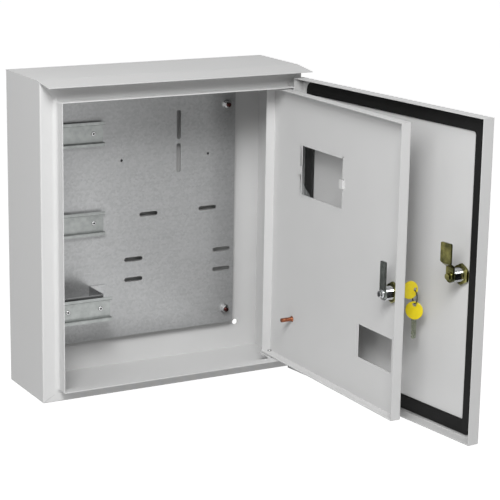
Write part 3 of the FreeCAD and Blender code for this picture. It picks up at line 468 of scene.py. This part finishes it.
@dataclass(frozen=True)
class DoorHinge:
    """An upright hinge line and the angle in degrees at which its door rests open."""

    pin_x: float
    pin_y: float
    open_angle: float

    def opened(self) -> Matrix:
        """Carries a piece from the shut door to the open one.

        Returns:
            The turn about the pins.
        """
        pin = Matrix.Translation((self.pin_x, self.pin_y, 0.0))
        return pin @ Matrix.Rotation(math.radians(self.open_angle), 4, "Z") @ pin.inverted()


OUTER_HINGE = DoorHinge(pin_x=0.191, pin_y=-0.1373, open_angle=96.0)
INNER_HINGE = DoorHinge(pin_x=0.1688, pin_y=-0.0985, open_angle=90.0)


def finish_nodes(nodes: Nodes, finish: Finish, names: Iterable[str]) -> None:
    """Gives carried-over nodes their finish.

    Args:
        nodes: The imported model's objects by name.
        finish: The finish to lay.
        names: Which nodes get it.
    """
    for name in names:
        mesh = nodes[name].data
        mesh.materials.clear()
        mesh.materials.append(finish.material())
        LOG.info("%s keeps its solid in %s", name, finish.name)


def shown(name: str, data: bpy.types.ID) -> bpy.types.Object:
    """Adds an object to the scene.

    Args:
        name: The object's name.
        data: Its mesh, light or camera.

    Returns:
        The object, at the origin.
    """
    thing = bpy.data.objects.new(name, data)
    bpy.context.scene.collection.objects.link(thing)
    return thing


def settled(shape: Shape) -> Shape:
    """Puts points and faces in a fixed order, which the operators leave to chance.

    Args:
        shape: The bmesh to put in order.

    Returns:
        The same bmesh, so that each run gives the same mesh.
    """
    ranked = sorted(shape.verts, key=lambda v: tuple(round(c, ORDER_DIGITS) for c in v.co))
    for rank, point in enumerate(ranked):
        point.index = rank
    shape.verts.sort()
    loops = []
    for face in shape.faces:
        loop = [v.index for v in face.verts]
        first = loop.index(min(loop))
        loops.append(loop[first:] + loop[:first])
    bmesh.ops.delete(shape, geom=list(shape.faces), context="FACES_ONLY")
    shape.verts.ensure_lookup_table()
    for loop in sorted(loops):
        shape.faces.new([shape.verts[index] for index in loop])
    return shape


def add_piece(name: str, shape: Shape, finish: Finish, body: str) -> bpy.types.Object:
    """Turns a bmesh into a piece that rides on a body.

    Args:
        name: The piece's name.
        shape: Its bmesh, in place; it is freed here.
        finish: Its finish.
        body: The body that it moves with.

    Returns:
        The new object, at the origin.
    """
    mesh = bpy.data.meshes.new(name)
    settled(shape).to_mesh(mesh)
    shape.free()
    mesh.shade_smooth()
    mesh.set_sharp_from_angle(angle=SMOOTH_ANGLE)
    mesh.materials.append(finish.material())
    piece = shown(name, mesh)
    LOG.info("%s built with %d faces in %s", name, len(mesh.polygons), finish.name)
    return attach(piece, body)


def revolved(shape: Shape, geom: Sequence[Element], steps: int) -> Shape:
    """Spins a section once round Z and closes the surface.

    Args:
        shape: The bmesh that holds the section.
        geom: The section's points and edges.
        steps: Sides round the axis.

    Returns:
        The same bmesh, with its faces pointing outwards.
    """
    bmesh.ops.spin(shape, geom=geom, cent=(0, 0, 0), axis=(0, 0, 1), angle=2 * math.pi,
                   steps=steps, use_merge=True, use_duplicate=False)
    bmesh.ops.remove_doubles(shape, verts=shape.verts, dist=WELD_DISTANCE)
    bmesh.ops.recalc_face_normals(shape, faces=shape.faces)
    return shape


def spun(profile: Profile, steps: int) -> Shape:
    """Closed body of revolution about Z.

    Args:
        profile: Radius and height of each point, from one end on the axis to the other.
        steps: Sides round the axis.

    Returns:
        The body's bmesh.
    """
    shape = bmesh.new()
    points = [shape.verts.new((radius, 0.0, height)) for radius, height in profile]
    edges = [shape.edges.new(pair) for pair in zip(points, points[1:])]
    return revolved(shape, points + edges, steps)


def hoop(radius: float, wire: float, steps: int, sides: int) -> Shape:
    """Round wire bent to a ring about Z.

    Args:
        radius: Radius of the wire's centre line.
        wire: Radius of the wire.
        steps: Sides round the ring.
        sides: Sides round the wire.

    Returns:
        The ring's bmesh.
    """
    shape = bmesh.new()
    place = Matrix.Translation((radius, 0, 0)) @ Z_TO_FRONT
    points = bmesh.ops.create_circle(shape, segments=sides, radius=wire, matrix=place)["verts"]
    edges = list({e for v in points for e in v.link_edges})
    return revolved(shape, points + edges, steps)


def thread_profile(core: float, crest: float, start: float, end: float, pitch: float) -> Profile:
    """Zigzag of a screw thread's side, as radius and height.

    Args:
        core: Radius at the thread's roots.
        crest: Radius at its crests.
        start: Height of the first root.
        end: Height that the thread stops before.
        pitch: Height of one turn.

    Returns:
        The points from start to end.
    """
    turns = int((end - start) / pitch)
    points = []
    for turn in range(turns):
        foot = start + turn * pitch
        points.append((core, foot))
        points += [(crest, foot + share * pitch) for share in THREAD_CREST]
    return points + [(core, start + turns * pitch)]


def thickened(shape: Shape, offset: Point) -> Shape:
    """Gives a sheet a thickness.

    Args:
        shape: A bmesh of one open sheet.
        offset: The way from the sheet to its other face.

    Returns:
        The same bmesh, closed and with its faces pointing outwards.
    """
    made = bmesh.ops.extrude_face_region(shape, geom=list(shape.faces), use_keep_orig=True)
    tops = [v for v in made["geom"] if isinstance(v, bmesh.types.BMVert)]
    bmesh.ops.translate(shape, vec=offset, verts=tops)
    bmesh.ops.recalc_face_normals(shape, faces=shape.faces)
    return shape


def moved(shape: Shape, matrix: Matrix) -> Shape:
    """Carries a bmesh to its place.

    Args:
        shape: The bmesh to move.
        matrix: The way that it goes.

    Returns:
        The same bmesh.
    """
    bmesh.ops.transform(shape, matrix=matrix, verts=shape.verts)
    return shape


def joined(shapes: Sequence[Shape]) -> Shape:
    """Puts several shapes into one.

    Args:
        shapes: The bmeshes to join; they are freed here.

    Returns:
        One bmesh with every shape in it.
    """
    whole = bmesh.new()
    for shape in shapes:
        mesh = bpy.data.meshes.new("joining")
        shape.to_mesh(mesh)
        whole.from_mesh(mesh)
        bpy.data.meshes.remove(mesh)
        shape.free()
    return whole


class Assembly:
    """A group of pieces that are built and dressed together."""

    def build(self) -> None:
        """Adds the pieces that are modelled here."""
        raise NotImplementedError

    def dress(self, nodes: Nodes) -> None:
        """Finishes the group's carried-over nodes.

        Args:
            nodes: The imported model's objects by name.
        """
        raise NotImplementedError


@dataclass(frozen=True)
class Cabinet(Assembly):
    """The painted shell, its roof and the pieces welded to it."""

    half_width: float = 0.2
    half_height: float = 0.2225
    flange_y: float = -0.12
    rim_half_width: float = 0.177
    rim_low: float = -0.2055
    rim_high: float = 0.1955
    cove: float = 6.0 * MM
    edge_room: float = 3.0 * MM
    roof_room: float = 6.0 * MM
    seam_width: float = 0.7 * MM
    seam_rise: float = 0.12 * MM
    seam_rounding: float = 0.096 * MM
    seam_steps: int = 2

    def build(self) -> None:
        """Adds the dressed weld seams at the flange's mitred corners, in darker paint that is
        painted shade along the creases.
        """
        seams = []
        for side in (-1, 1):
            for outer_z, inner_z in (
                    (-self.half_height + self.edge_room, self.rim_low - self.cove),
                    (self.half_height - self.roof_room, self.rim_high + self.cove)):
                outer_x = side * (self.half_width - self.edge_room)
                inner_x = side * (self.rim_half_width + self.cove)
                seams.append(self.seam(Vector((outer_x, self.flange_y, outer_z)),
                                       Vector((inner_x, self.flange_y, inner_z))))
        add_piece("flange_mitre_seams", joined(seams), SEAM_SHADE_PAINT, "cabinet")

    def seam(self, start: Vector, end: Vector) -> Shape:
        """A low rounded bead between two points of the flange.

        Args:
            start: The bead's outer end.
            end: Its end at the cove.

        Returns:
            The bead's bmesh.
        """
        along = end - start
        shape = bmesh.new()
        bmesh.ops.create_cube(shape, size=1.0)
        bmesh.ops.scale(shape, vec=(along.length, 2 * self.seam_rise, self.seam_width),
                        verts=shape.verts)
        rims = [e for e in shape.edges
                if abs((e.verts[0].co - e.verts[1].co).x) > self.seam_width]
        bmesh.ops.bevel(shape, geom=rims, offset=self.seam_rounding, segments=self.seam_steps,
                        profile=0.5, affect="EDGES", material=-1)
        turn = Matrix.Rotation(-math.atan2(along.z, along.x), 4, "Y")
        return moved(shape, Matrix.Translation((start + end) / 2) @ turn)

    def dress(self, nodes: Nodes) -> None:
        """Paints the shell and plates its hinge pins.

        Args:
            nodes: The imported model's objects by name.
        """
        finish_nodes(nodes, PAINT, ("cabinet_body", "roof_visor", "outer_hinge_lugs",
                                    "inner_hinge_brackets", "inner_lock_keeper"))
        finish_nodes(nodes, BRIGHT_ZINC, ("outer_hinge_pins", "inner_hinge_pins",
                                          "inner_hinge_washer"))


@dataclass(frozen=True)
class RivetPair:
    """Two blind rivets side by side; head_y is the front of their heads."""

    middle_x: float
    head_y: float
    z: float
    half_spacing: float


@dataclass(frozen=True)
class MeterPlate(Assembly):
    """The mounting plate with its studs, and the device rails on it."""

    stud_radius: float = 3.0 * MM
    stud_depth: float = 0.35 * MM
    stud_pitch: float = 1.0 * MM
    stud_chamfer: float = 0.6 * MM
    sides: int = 24
    rivets: Tuple[RivetPair, ...] = (
        RivetPair(-0.1007, -0.0153, 0.1265, 0.025), RivetPair(-0.1007, -0.0153, -0.0027, 0.025),
        RivetPair(-0.1133, -0.0653, -0.1147, 0.025), RivetPair(-0.1133, -0.0158, -0.1147, 0.043))
    stem_radius: float = 1.05 * MM
    stem_length: float = 2.0 * MM
    stem_rim_radius: float = 1.5 * MM
    stem_rim: float = 0.12 * MM
    stem_dish: Tuple[Span, ...] = ((1.0, 0.0), (0.95, 1.0), (0.5, 0.6), (0.0, 0.3))

    def build(self) -> None:
        """Threads the plate's studs and leaves the rivets' broken stems in their bores, near-black
        as painted shade.
        """
        self.build_studs()
        self.build_stems()

    def build_stems(self) -> None:
        """Leaves a near-black stem in each rivet, painted shade inside the bore; its dished end is
        in shares of the rim's radius and rise.
        """
        profile = [(0.0, 0.0), (self.stem_radius, 0.0), (self.stem_radius, self.stem_length)]
        profile += [(across * self.stem_rim_radius, self.stem_length + rise * self.stem_rim)
                    for across, rise in self.stem_dish]
        stems = []
        for pair in self.rivets:
            for side in (-pair.half_spacing, pair.half_spacing):
                foot = (pair.middle_x + side, pair.head_y + self.stem_length, pair.z)
                stems.append(moved(spun(profile, self.sides),
                                   Matrix.Translation(foot) @ Z_TO_FRONT))
        piece = add_piece("rivet_stems_in_painted_bore_shade", joined(stems), STEM_STEEL_AS_PAINTED_BORE_SHADE, "cabinet")

    def build_studs(self) -> None:
        """Cuts threads on the plate's studs, in a copper darkened as painted shade."""
        low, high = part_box("plate_studs")
        length = high.y - low.y
        studs = []
        for x in (low.x + self.stud_radius, high.x - self.stud_radius):
            for z in (low.z + self.stud_radius, high.z - self.stud_radius):
                place = Matrix.Translation((x, high.y, z)) @ Z_TO_FRONT
                studs.append(moved(self.threaded_stud(length), place))
        piece = add_piece("threaded_plate_studs", joined(studs), COPPER_IN_PAINTED_SHADE, "cabinet")
        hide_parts("plate_studs")

    def threaded_stud(self, length: float) -> Shape:
        """A threaded stud along Z with a chamfered tip.

        Args:
            length: Height from its welded foot to its tip.

        Returns:
            The stud's bmesh.
        """
        core = self.stud_radius - self.stud_depth
        thread = thread_profile(core, self.stud_radius, self.stud_pitch,
                                length - self.stud_chamfer, self.stud_pitch)
        tip = [(core - self.stud_chamfer, length), (0.0, length)]
        return spun([(0.0, 0.0), (core, 0.0)] + thread + tip, self.sides)

    def dress(self, nodes: Nodes) -> None:
        """Galvanises the plate and plates the rails and fixings.

        Args:
            nodes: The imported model's objects by name.
        """
        finish_nodes(nodes, GALVANISED, ("mounting_plate",))
        finish_nodes(nodes, STAND_ZINC, ("rail_stand",))
        finish_nodes(nodes, RAIL_ZINC, ("upper_rail", "middle_rail", "lower_rail"))
        finish_nodes(nodes, BRIGHT_ZINC, ("rail_rivets", "plate_spacers", "plate_washers",
                                          "plate_nuts"))


@dataclass(frozen=True)
class OuterDoor(Assembly):
    """The outer door with its foam seal."""

    seal_low_x: float = -0.18615
    seal_high_x: float = 0.18615
    seal_low_z: float = -0.21465
    seal_high_z: float = 0.20465
    seal_width: float = 19.5 * MM
    seal_height: float = 3.5 * MM
    seal_corner: float = 14.0 * MM
    seal_inner_corner: float = 4.0 * MM
    seal_corner_steps: int = 10
    seal_crown: float = 2.8 * MM
    seal_crown_steps: int = 4
    inner_face_y: float = -0.1438

    def build(self) -> None:
        """Pours the foam seal round the door."""
        seal = moved(self.seal(), OUTER_HINGE.opened())
        piece = add_piece("foam_door_seal", seal, SEAL_FOAM, "outer_door")
        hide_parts("door_gasket")

    def seal(self) -> Shape:
        """A flat ring with round corners and a crowned section, on the shut door.

        Returns:
            The seal's bmesh.
        """
        shape = joined((self.outline(0.0, self.seal_corner),
                        self.outline(self.seal_width, self.seal_inner_corner)))
        bmesh.ops.bridge_loops(shape, edges=shape.edges)
        thickened(shape, (0, 0, self.seal_height))
        rims = [e for e in shape.edges
                if min(v.co.z for v in e.verts) > self.seal_height / 2
                and any(abs(f.normal.z) < SIDE_LEAN for f in e.link_faces)]
        bmesh.ops.bevel(shape, geom=rims, offset=self.seal_crown, segments=self.seal_crown_steps,
                        profile=0.5, affect="EDGES", material=-1)
        centre = Vector(((self.seal_low_x + self.seal_high_x) / 2, self.inner_face_y,
                         (self.seal_low_z + self.seal_high_z) / 2))
        return moved(shape, Matrix.Translation(centre) @ Z_TO_BACK)

    def outline(self, inset: float, corner: float) -> Shape:
        """Edges of a rectangle with round corners.

        Args:
            inset: Distance inside the seal's outer edge.
            corner: Radius of the corners.

        Returns:
            The rectangle's bmesh, flat and centred on the origin.
        """
        shape = bmesh.new()
        bmesh.ops.create_grid(shape, x_segments=1, y_segments=1, size=0.5)
        size = Vector((self.seal_high_x - self.seal_low_x, self.seal_high_z - self.seal_low_z, 1.0))
        bmesh.ops.scale(shape, vec=size - Vector((2 * inset, 2 * inset, 0.0)), verts=shape.verts)
        bmesh.ops.bevel(shape, geom=list(shape.verts), offset=corner,
                        segments=self.seal_corner_steps, profile=0.5, affect="VERTICES",
                        material=-1)
        bmesh.ops.delete(shape, geom=list(shape.faces), context="FACES_ONLY")
        return shape

    def dress(self, nodes: Nodes) -> None:
        """Paints the door and its hinge leaves.

        Args:
            nodes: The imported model's objects by name.
        """
        finish_nodes(nodes, PAINT, ("outer_door", "outer_hinge_leaves"))


@dataclass(frozen=True)
class InnerDoor(Assembly):
    """The inner door with its window and earth stud."""

    film_corner: Point = (0.0953, -0.1005, 0.04825)
    film_width: float = 33.0 * MM
    film_height: float = 23.0 * MM
    film_sheet: float = 0.1 * MM
    film_curl: float = 1.0 * MM
    film_flat_share: float = 0.94
    stud_foot: Point = (0.1122, -0.102, -0.139)
    stud_radius: float = 3.0 * MM
    stud_depth: float = 0.3 * MM
    stud_length: float = 18.0 * MM
    stud_pitch: float = 1.0 * MM
    stud_tip_radius: float = 2.16 * MM
    stud_sides: int = 32
    flare: Tuple[Span, ...] = ((0.0, 0.0), (4.3 * MM, 0.0), (4.3 * MM, 0.4 * MM),
                               (3.3 * MM, 1.2 * MM), (3.0 * MM, 2.0 * MM))
    thread_start: float = 3.0 * MM

    def build(self) -> None:
        """Adds the earth stud and what is left of the window's film."""
        self.build_stud()
        self.build_film()

    def build_film(self) -> None:
        """Leaves a torn corner of protective film on the pane, curled up along its tear."""
        shape = bmesh.new()
        corner = shape.verts.new((0, 0, 0))
        flat = [shape.verts.new((-self.film_width * self.film_flat_share, 0, 0)),
                shape.verts.new((0, 0, self.film_height * self.film_flat_share))]
        torn = [shape.verts.new((-self.film_width, self.film_curl, 0)),
                shape.verts.new((0, self.film_curl, self.film_height))]
        shape.faces.new((corner, flat[1], flat[0]))
        shape.faces.new((flat[0], flat[1], torn[1], torn[0]))
        thickened(shape, (0, self.film_sheet, 0))
        film = moved(shape, INNER_HINGE.opened() @ Matrix.Translation(self.film_corner))
        piece = add_piece("window_film_corner", film, FILM_SHEET, "inner_door")

    def build_stud(self) -> None:
        """Welds the threaded earth stud to the door, on a flare of (radius, height) points."""
        core = self.stud_radius - self.stud_depth
        thread = thread_profile(core, self.stud_radius, self.thread_start, self.stud_length,
                                self.stud_pitch)
        tip = [(self.stud_tip_radius, self.stud_length), (0.0, self.stud_length)]
        place = INNER_HINGE.opened() @ Matrix.Translation(self.stud_foot) @ Z_TO_BACK
        stud = moved(spun([*self.flare, *thread, *tip], self.stud_sides), place)
        piece = add_piece("threaded_earth_stud", stud, COPPER, "inner_door")
        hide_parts("earth_stud")

    def dress(self, nodes: Nodes) -> None:
        """Paints the door and glazes its window.

        Args:
            nodes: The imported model's objects by name.
        """
        finish_nodes(nodes, PAINT, ("inner_door",))
        finish_nodes(nodes, WINDOW_SHEET, ("meter_window_pane",))


@dataclass(frozen=True)
class CamLock(Assembly):
    """One cam lock, with the thread that its nut runs on."""

    name: str
    door: str
    hinge: DoorHinge
    axis_x: float
    axis_z: float
    face_y: float
    barrel_length: float
    cam_finish: Finish
    screw_finish: Finish
    barrel_radius: float = 9.0 * MM
    thread_rise: float = 0.3 * MM
    thread_pitch: float = 1.1 * MM
    flat: float = 8.0 * MM
    nut_end: float = 6.2 * MM
    sides: int = 48

    def build(self) -> None:
        """Cuts the barrel's thread between the nut and the cam."""
        crest = self.barrel_radius + self.thread_rise
        inside = self.barrel_radius - self.thread_rise
        thread = thread_profile(self.barrel_radius, crest, self.nut_end, self.barrel_length,
                                self.thread_pitch)
        low, high = thread[0][1], thread[-1][1]
        profile = [(0.0, low), (inside, low), *thread, (inside, high), (0.0, high)]
        shape = spun(profile, self.sides)
        for side in (-1, 1):
            cut = bmesh.ops.bisect_plane(
                shape, geom=shape.verts[:] + shape.edges[:] + shape.faces[:],
                plane_co=(side * self.flat, 0, 0), plane_no=(side, 0, 0), clear_outer=True)
            edges = [g for g in cut["geom_cut"] if isinstance(g, bmesh.types.BMEdge)]
            bmesh.ops.edgenet_fill(shape, edges=edges)
        face = Matrix.Translation((self.axis_x, self.face_y, self.axis_z))
        thread_shape = moved(shape, self.hinge.opened() @ face @ Z_TO_BACK)
        add_piece(self.name + "_barrel_thread", thread_shape, LOCK_CHROME, self.door)

    def dress(self, nodes: Nodes) -> None:
        """Plates the lock's nodes.

        Args:
            nodes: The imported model's objects by name.
        """
        finish_nodes(nodes, LOCK_CHROME, (self.name + "_lock_body", self.name + "_lock_plug"))
        finish_nodes(nodes, YELLOW_ZINC_WITH_PAINTED_REFLECTIONS, (self.name + "_lock_nut",))
        finish_nodes(nodes, self.cam_finish, (self.name + "_lock_cam",))
        finish_nodes(nodes, self.screw_finish, (self.name + "_lock_screw",))


# The outer lock's nut, cam and screw carry the yellow zinc with painted dark reflections.
OUTER_LOCK = CamLock(
    "outer", "outer_door", OUTER_HINGE, axis_x=-0.152, axis_z=-0.0025, face_y=-0.145,
    barrel_length=21.0 * MM, cam_finish=YELLOW_ZINC_WITH_PAINTED_REFLECTIONS, screw_finish=YELLOW_ZINC_WITH_PAINTED_REFLECTIONS)
INNER_LOCK = CamLock(
    "inner", "inner_door", INNER_HINGE, axis_x=-0.1457, axis_z=-0.0355, face_y=-0.1032,
    barrel_length=17.5 * MM, cam_finish=CAM_ZINC, screw_finish=LOCK_CHROME)


@dataclass(frozen=True)
class KeyBunch(Assembly):
    """The key in a lock, its split ring and the spare key; twists are in degrees about Z."""

    lock: CamLock
    head_y: float = -0.1272
    hole_reach: float = 8.0 * MM
    ring_radius: float = 9.0 * MM
    ring_wire: float = 0.42 * MM
    ring_steps: int = 64
    ring_sides: int = 10
    coil_offset: float = 0.378 * MM
    ring_hang: float = 1.4 * MM
    ring_twist: float = -14.0
    spare_twist: float = -54.0
    blade_root: float = 6.2 * MM
    blade_tip: float = 39.2 * MM
    blade_shoulder: float = 36.7 * MM
    blade_half_width: float = 3.5 * MM
    blade_thickness: float = 1.6 * MM
    groove_half_width: float = 0.7 * MM
    groove_depth: float = 0.4 * MM
    groove_wall: float = 0.1 * MM
    first_cut: float = 34.2 * MM
    cut_step: float = 3.6 * MM
    cut_mouth: float = 1.26 * MM
    cut_floor: float = 0.36 * MM
    cut_edge: float = 0.3 * MM
    cut_depths: Tuple[float, ...] = (
        1.6 * MM, 0.7 * MM, 2.0 * MM, 1.1 * MM, 1.8 * MM, 0.9 * MM)

    def build(self) -> None:
        """Makes the split ring and both milled blades."""
        head = Vector((self.lock.axis_x, self.head_y, self.lock.axis_z))
        centre = head - Vector((0, self.hole_reach, self.ring_hang + self.ring_radius))
        spare = centre - Vector((0, 0, self.ring_radius + self.ring_hang + self.hole_reach))
        opened = self.lock.hinge.opened()
        coils = []
        for side in (-1, 1):
            coil = hoop(self.ring_radius, self.ring_wire, self.ring_steps, self.ring_sides)
            coils.append(moved(coil, Matrix.Translation((0, 0, side * self.coil_offset))))
        ring = moved(joined(coils), opened @ self.hung(centre, self.ring_twist))
        ring_piece = add_piece("split_key_ring", ring, RING_STEEL, "inner_lock")
        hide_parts("key_ring")
        for node, place in (("key_blade", Matrix.Translation(head)),
                            ("spare_key_blade", self.hung(spare, self.spare_twist))):
            blade = moved(self.blade(), opened @ place)
            piece = add_piece("milled_" + node, blade, KEY_STEEL, "inner_lock")
            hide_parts(node)

    @staticmethod
    def hung(place: Vector, twist: float) -> Matrix:
        """Carries a piece from the origin to where it hangs.

        Args:
            place: Its middle.
            twist: Its turn about the upright, in degrees.

        Returns:
            The way there, with the piece's Y pointing down.
        """
        turn = Matrix.Rotation(math.radians(twist), 4, "Z")
        return Matrix.Translation(place) @ turn @ Z_TO_BACK

    def blade(self) -> Shape:
        """A flat blade along Y with bitting cuts on one edge and a milled groove on each face.

        Returns:
            The blade's bmesh.
        """
        half = self.blade_half_width
        outline = [(self.blade_root, -half), (self.blade_shoulder, -half), (self.blade_tip, 0.0),
                   (self.blade_shoulder, half)]
        for index, depth in enumerate(self.cut_depths):
            middle = self.first_cut - index * self.cut_step
            outline += [(middle + self.cut_mouth, half - self.cut_edge),
                        (middle + self.cut_floor, half - depth),
                        (middle - self.cut_floor, half - depth),
                        (middle - self.cut_mouth, half - self.cut_edge)]
        outline.append((self.blade_root, half))
        shape = bmesh.new()
        shape.faces.new([shape.verts.new((-self.blade_thickness / 2, y, z)) for y, z in outline])
        thickened(shape, (self.blade_thickness, 0, 0))
        for z in (-self.groove_half_width, self.groove_half_width):
            bmesh.ops.bisect_plane(shape, geom=shape.verts[:] + shape.edges[:] + shape.faces[:],
                                   plane_co=(0, 0, z), plane_no=(0, 0, 1))
        bmesh.ops.recalc_face_normals(shape, faces=shape.faces)
        strips = [f for f in shape.faces if abs(f.normal.x) > FLAT_LEAN
                  and abs(f.calc_center_median().z) < self.groove_half_width]
        bmesh.ops.inset_individual(shape, faces=strips, thickness=self.groove_wall,
                                   depth=-self.groove_depth)
        return shape

    def dress(self, nodes: Nodes) -> None:
        """Gives both key heads their plastic covers.

        Args:
            nodes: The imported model's objects by name.
        """
        finish_nodes(nodes, KEY_COVER, ("key_head", "spare_key_head"))


@dataclass(frozen=True)
class Lamp:
    """A square soft lamp, with its side in metres and its power in watts."""

    name: str
    place: Point
    side: float
    power: float

    def hang(self, aim: Point) -> None:
        """Hangs the lamp so that it faces a point.

        Args:
            aim: The point that it faces.
        """
        light = bpy.data.lights.new(self.name, "AREA")
        light.size = self.side
        light.energy = self.power
        lamp = shown(self.name, light)
        lamp.location = self.place
        facing = Vector(aim) - Vector(self.place)
        lamp.rotation_euler = facing.to_track_quat("-Z", "Y").to_euler()


@dataclass(frozen=True)
class Studio:
    """Floor, world, lamps and the photograph's camera, whose angles are in degrees."""

    camera_place: Point = (-1.08, -2.251, 0.5653)
    camera_yaw: float = 29.4
    camera_pitch: float = 13.877
    camera_roll: float = -0.998
    camera_lens: float = 126.68
    camera_sensor: float = 36.0
    floor_z: float = -0.85
    floor_size: float = 60.0
    floor_colour: Colour = (0.9, 0.9, 0.9)
    floor_roughness: float = 0.95
    floor_lift: float = 0.76
    sky_light: float = 0.23
    aim: Point = (0.0, -0.1, 0.0)
    lamps: Tuple[Lamp, ...] = (Lamp("key_lamp", (-1.1, -2.4, 2.2), 1.2, 64.0),
                               Lamp("near_lamp", (-0.7, -1.2, 0.9), 0.4, 8.5),
                               Lamp("side_lamp", (-1.6, -1.2, 0.9), 0.5, 6.5))

    def build(self) -> None:
        """Sets the whole stage."""
        bpy.context.scene.view_settings.view_transform = "Standard"
        self.lay_floor()
        self.light_world()
        for lamp in self.lamps:
            lamp.hang(self.aim)
        self.place_camera()

    def lay_floor(self) -> None:
        """A pale floor well below the box, which hangs on a wall."""
        shape = bmesh.new()
        bmesh.ops.create_grid(shape, x_segments=1, y_segments=1, size=self.floor_size / 2)
        mesh = bpy.data.meshes.new("studio_floor")
        moved(shape, Matrix.Translation((0, 0, self.floor_z))).to_mesh(mesh)
        shape.free()
        graph = Graph("studio_floor_paper")
        lift = graph.node("ShaderNodeMapRange", Value=self.seen_directly(graph.tree),
                          To_Max=self.floor_lift)
        graph.shade(Base_Color=self.floor_colour, Roughness=self.floor_roughness,
                    Emission_Color=WHITE, Emission_Strength=lift.outputs["Result"])
        mesh.materials.append(graph.material)
        floor = shown("studio_floor", mesh)

    def light_world(self) -> None:
        """Even light from all round, seen as white by the camera and in reflections."""
        world = bpy.data.worlds.new("studio_world")
        bpy.context.scene.world = world
        world.use_nodes = True
        tree = world.node_tree
        background = next(n for n in tree.nodes if n.type == "BACKGROUND")
        background.inputs["Color"].default_value = (*WHITE, 1.0)
        level = tree.nodes.new("ShaderNodeMapRange")
        level.inputs["To Min"].default_value = self.sky_light
        level.inputs["To Max"].default_value = 1.0
        tree.links.new(self.seen_directly(tree), level.inputs["Value"])
        tree.links.new(level.outputs["Result"], background.inputs["Strength"])

    @staticmethod
    def seen_directly(tree: bpy.types.NodeTree) -> Socket:
        """1 for what the camera sees itself, in a reflection or by transmission, and 0 elsewhere.

        Args:
            tree: The node tree to add to.

        Returns:
            The factor.
        """
        path = tree.nodes.new("ShaderNodeLightPath")
        seen = path.outputs["Is Camera Ray"]
        for name in ("Is Glossy Ray", "Is Transmission Ray"):
            either = tree.nodes.new("ShaderNodeMath")
            either.operation = "MAXIMUM"
            tree.links.new(seen, either.inputs[0])
            tree.links.new(path.outputs[name], either.inputs[1])
            seen = either.outputs[0]
        return seen

    def place_camera(self) -> None:
        """The camera at the photograph's viewing angle."""
        yaw, pitch, roll = (
            math.radians(a) for a in (self.camera_yaw, self.camera_pitch, self.camera_roll))
        ahead = Vector((math.sin(yaw) * math.cos(pitch), math.cos(yaw) * math.cos(pitch),
                        -math.sin(pitch)))
        level = Vector((math.cos(yaw), -math.sin(yaw), 0.0))
        down = ahead.cross(level)
        right = level * math.cos(roll) + down * math.sin(roll)
        up = level * math.sin(roll) - down * math.cos(roll)
        lens = bpy.data.cameras.new("photo_camera")
        lens.lens = self.camera_lens
        lens.sensor_width = self.camera_sensor
        camera = shown("photo_camera", lens)
        turn = Matrix((right, up, -ahead)).transposed().to_4x4()
        camera.matrix_world = Matrix.Translation(self.camera_place) @ turn
        bpy.context.scene.camera = camera


def main() -> None:
    """Loads the frame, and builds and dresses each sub-assembly."""
    logging.basicConfig(level=logging.INFO, format="%(name)s: %(message)s")
    for thing in list(bpy.data.objects):
        bpy.data.objects.remove(thing)
    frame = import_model()
    nodes = frame["nodes"]
    Studio().build()
    for part in (Cabinet(), MeterPlate(), OuterDoor(), InnerDoor(), KeyBunch(INNER_LOCK),
                 OUTER_LOCK, INNER_LOCK):
        part.build()
        part.dress(nodes)


if __name__ == "__main__":
    main()
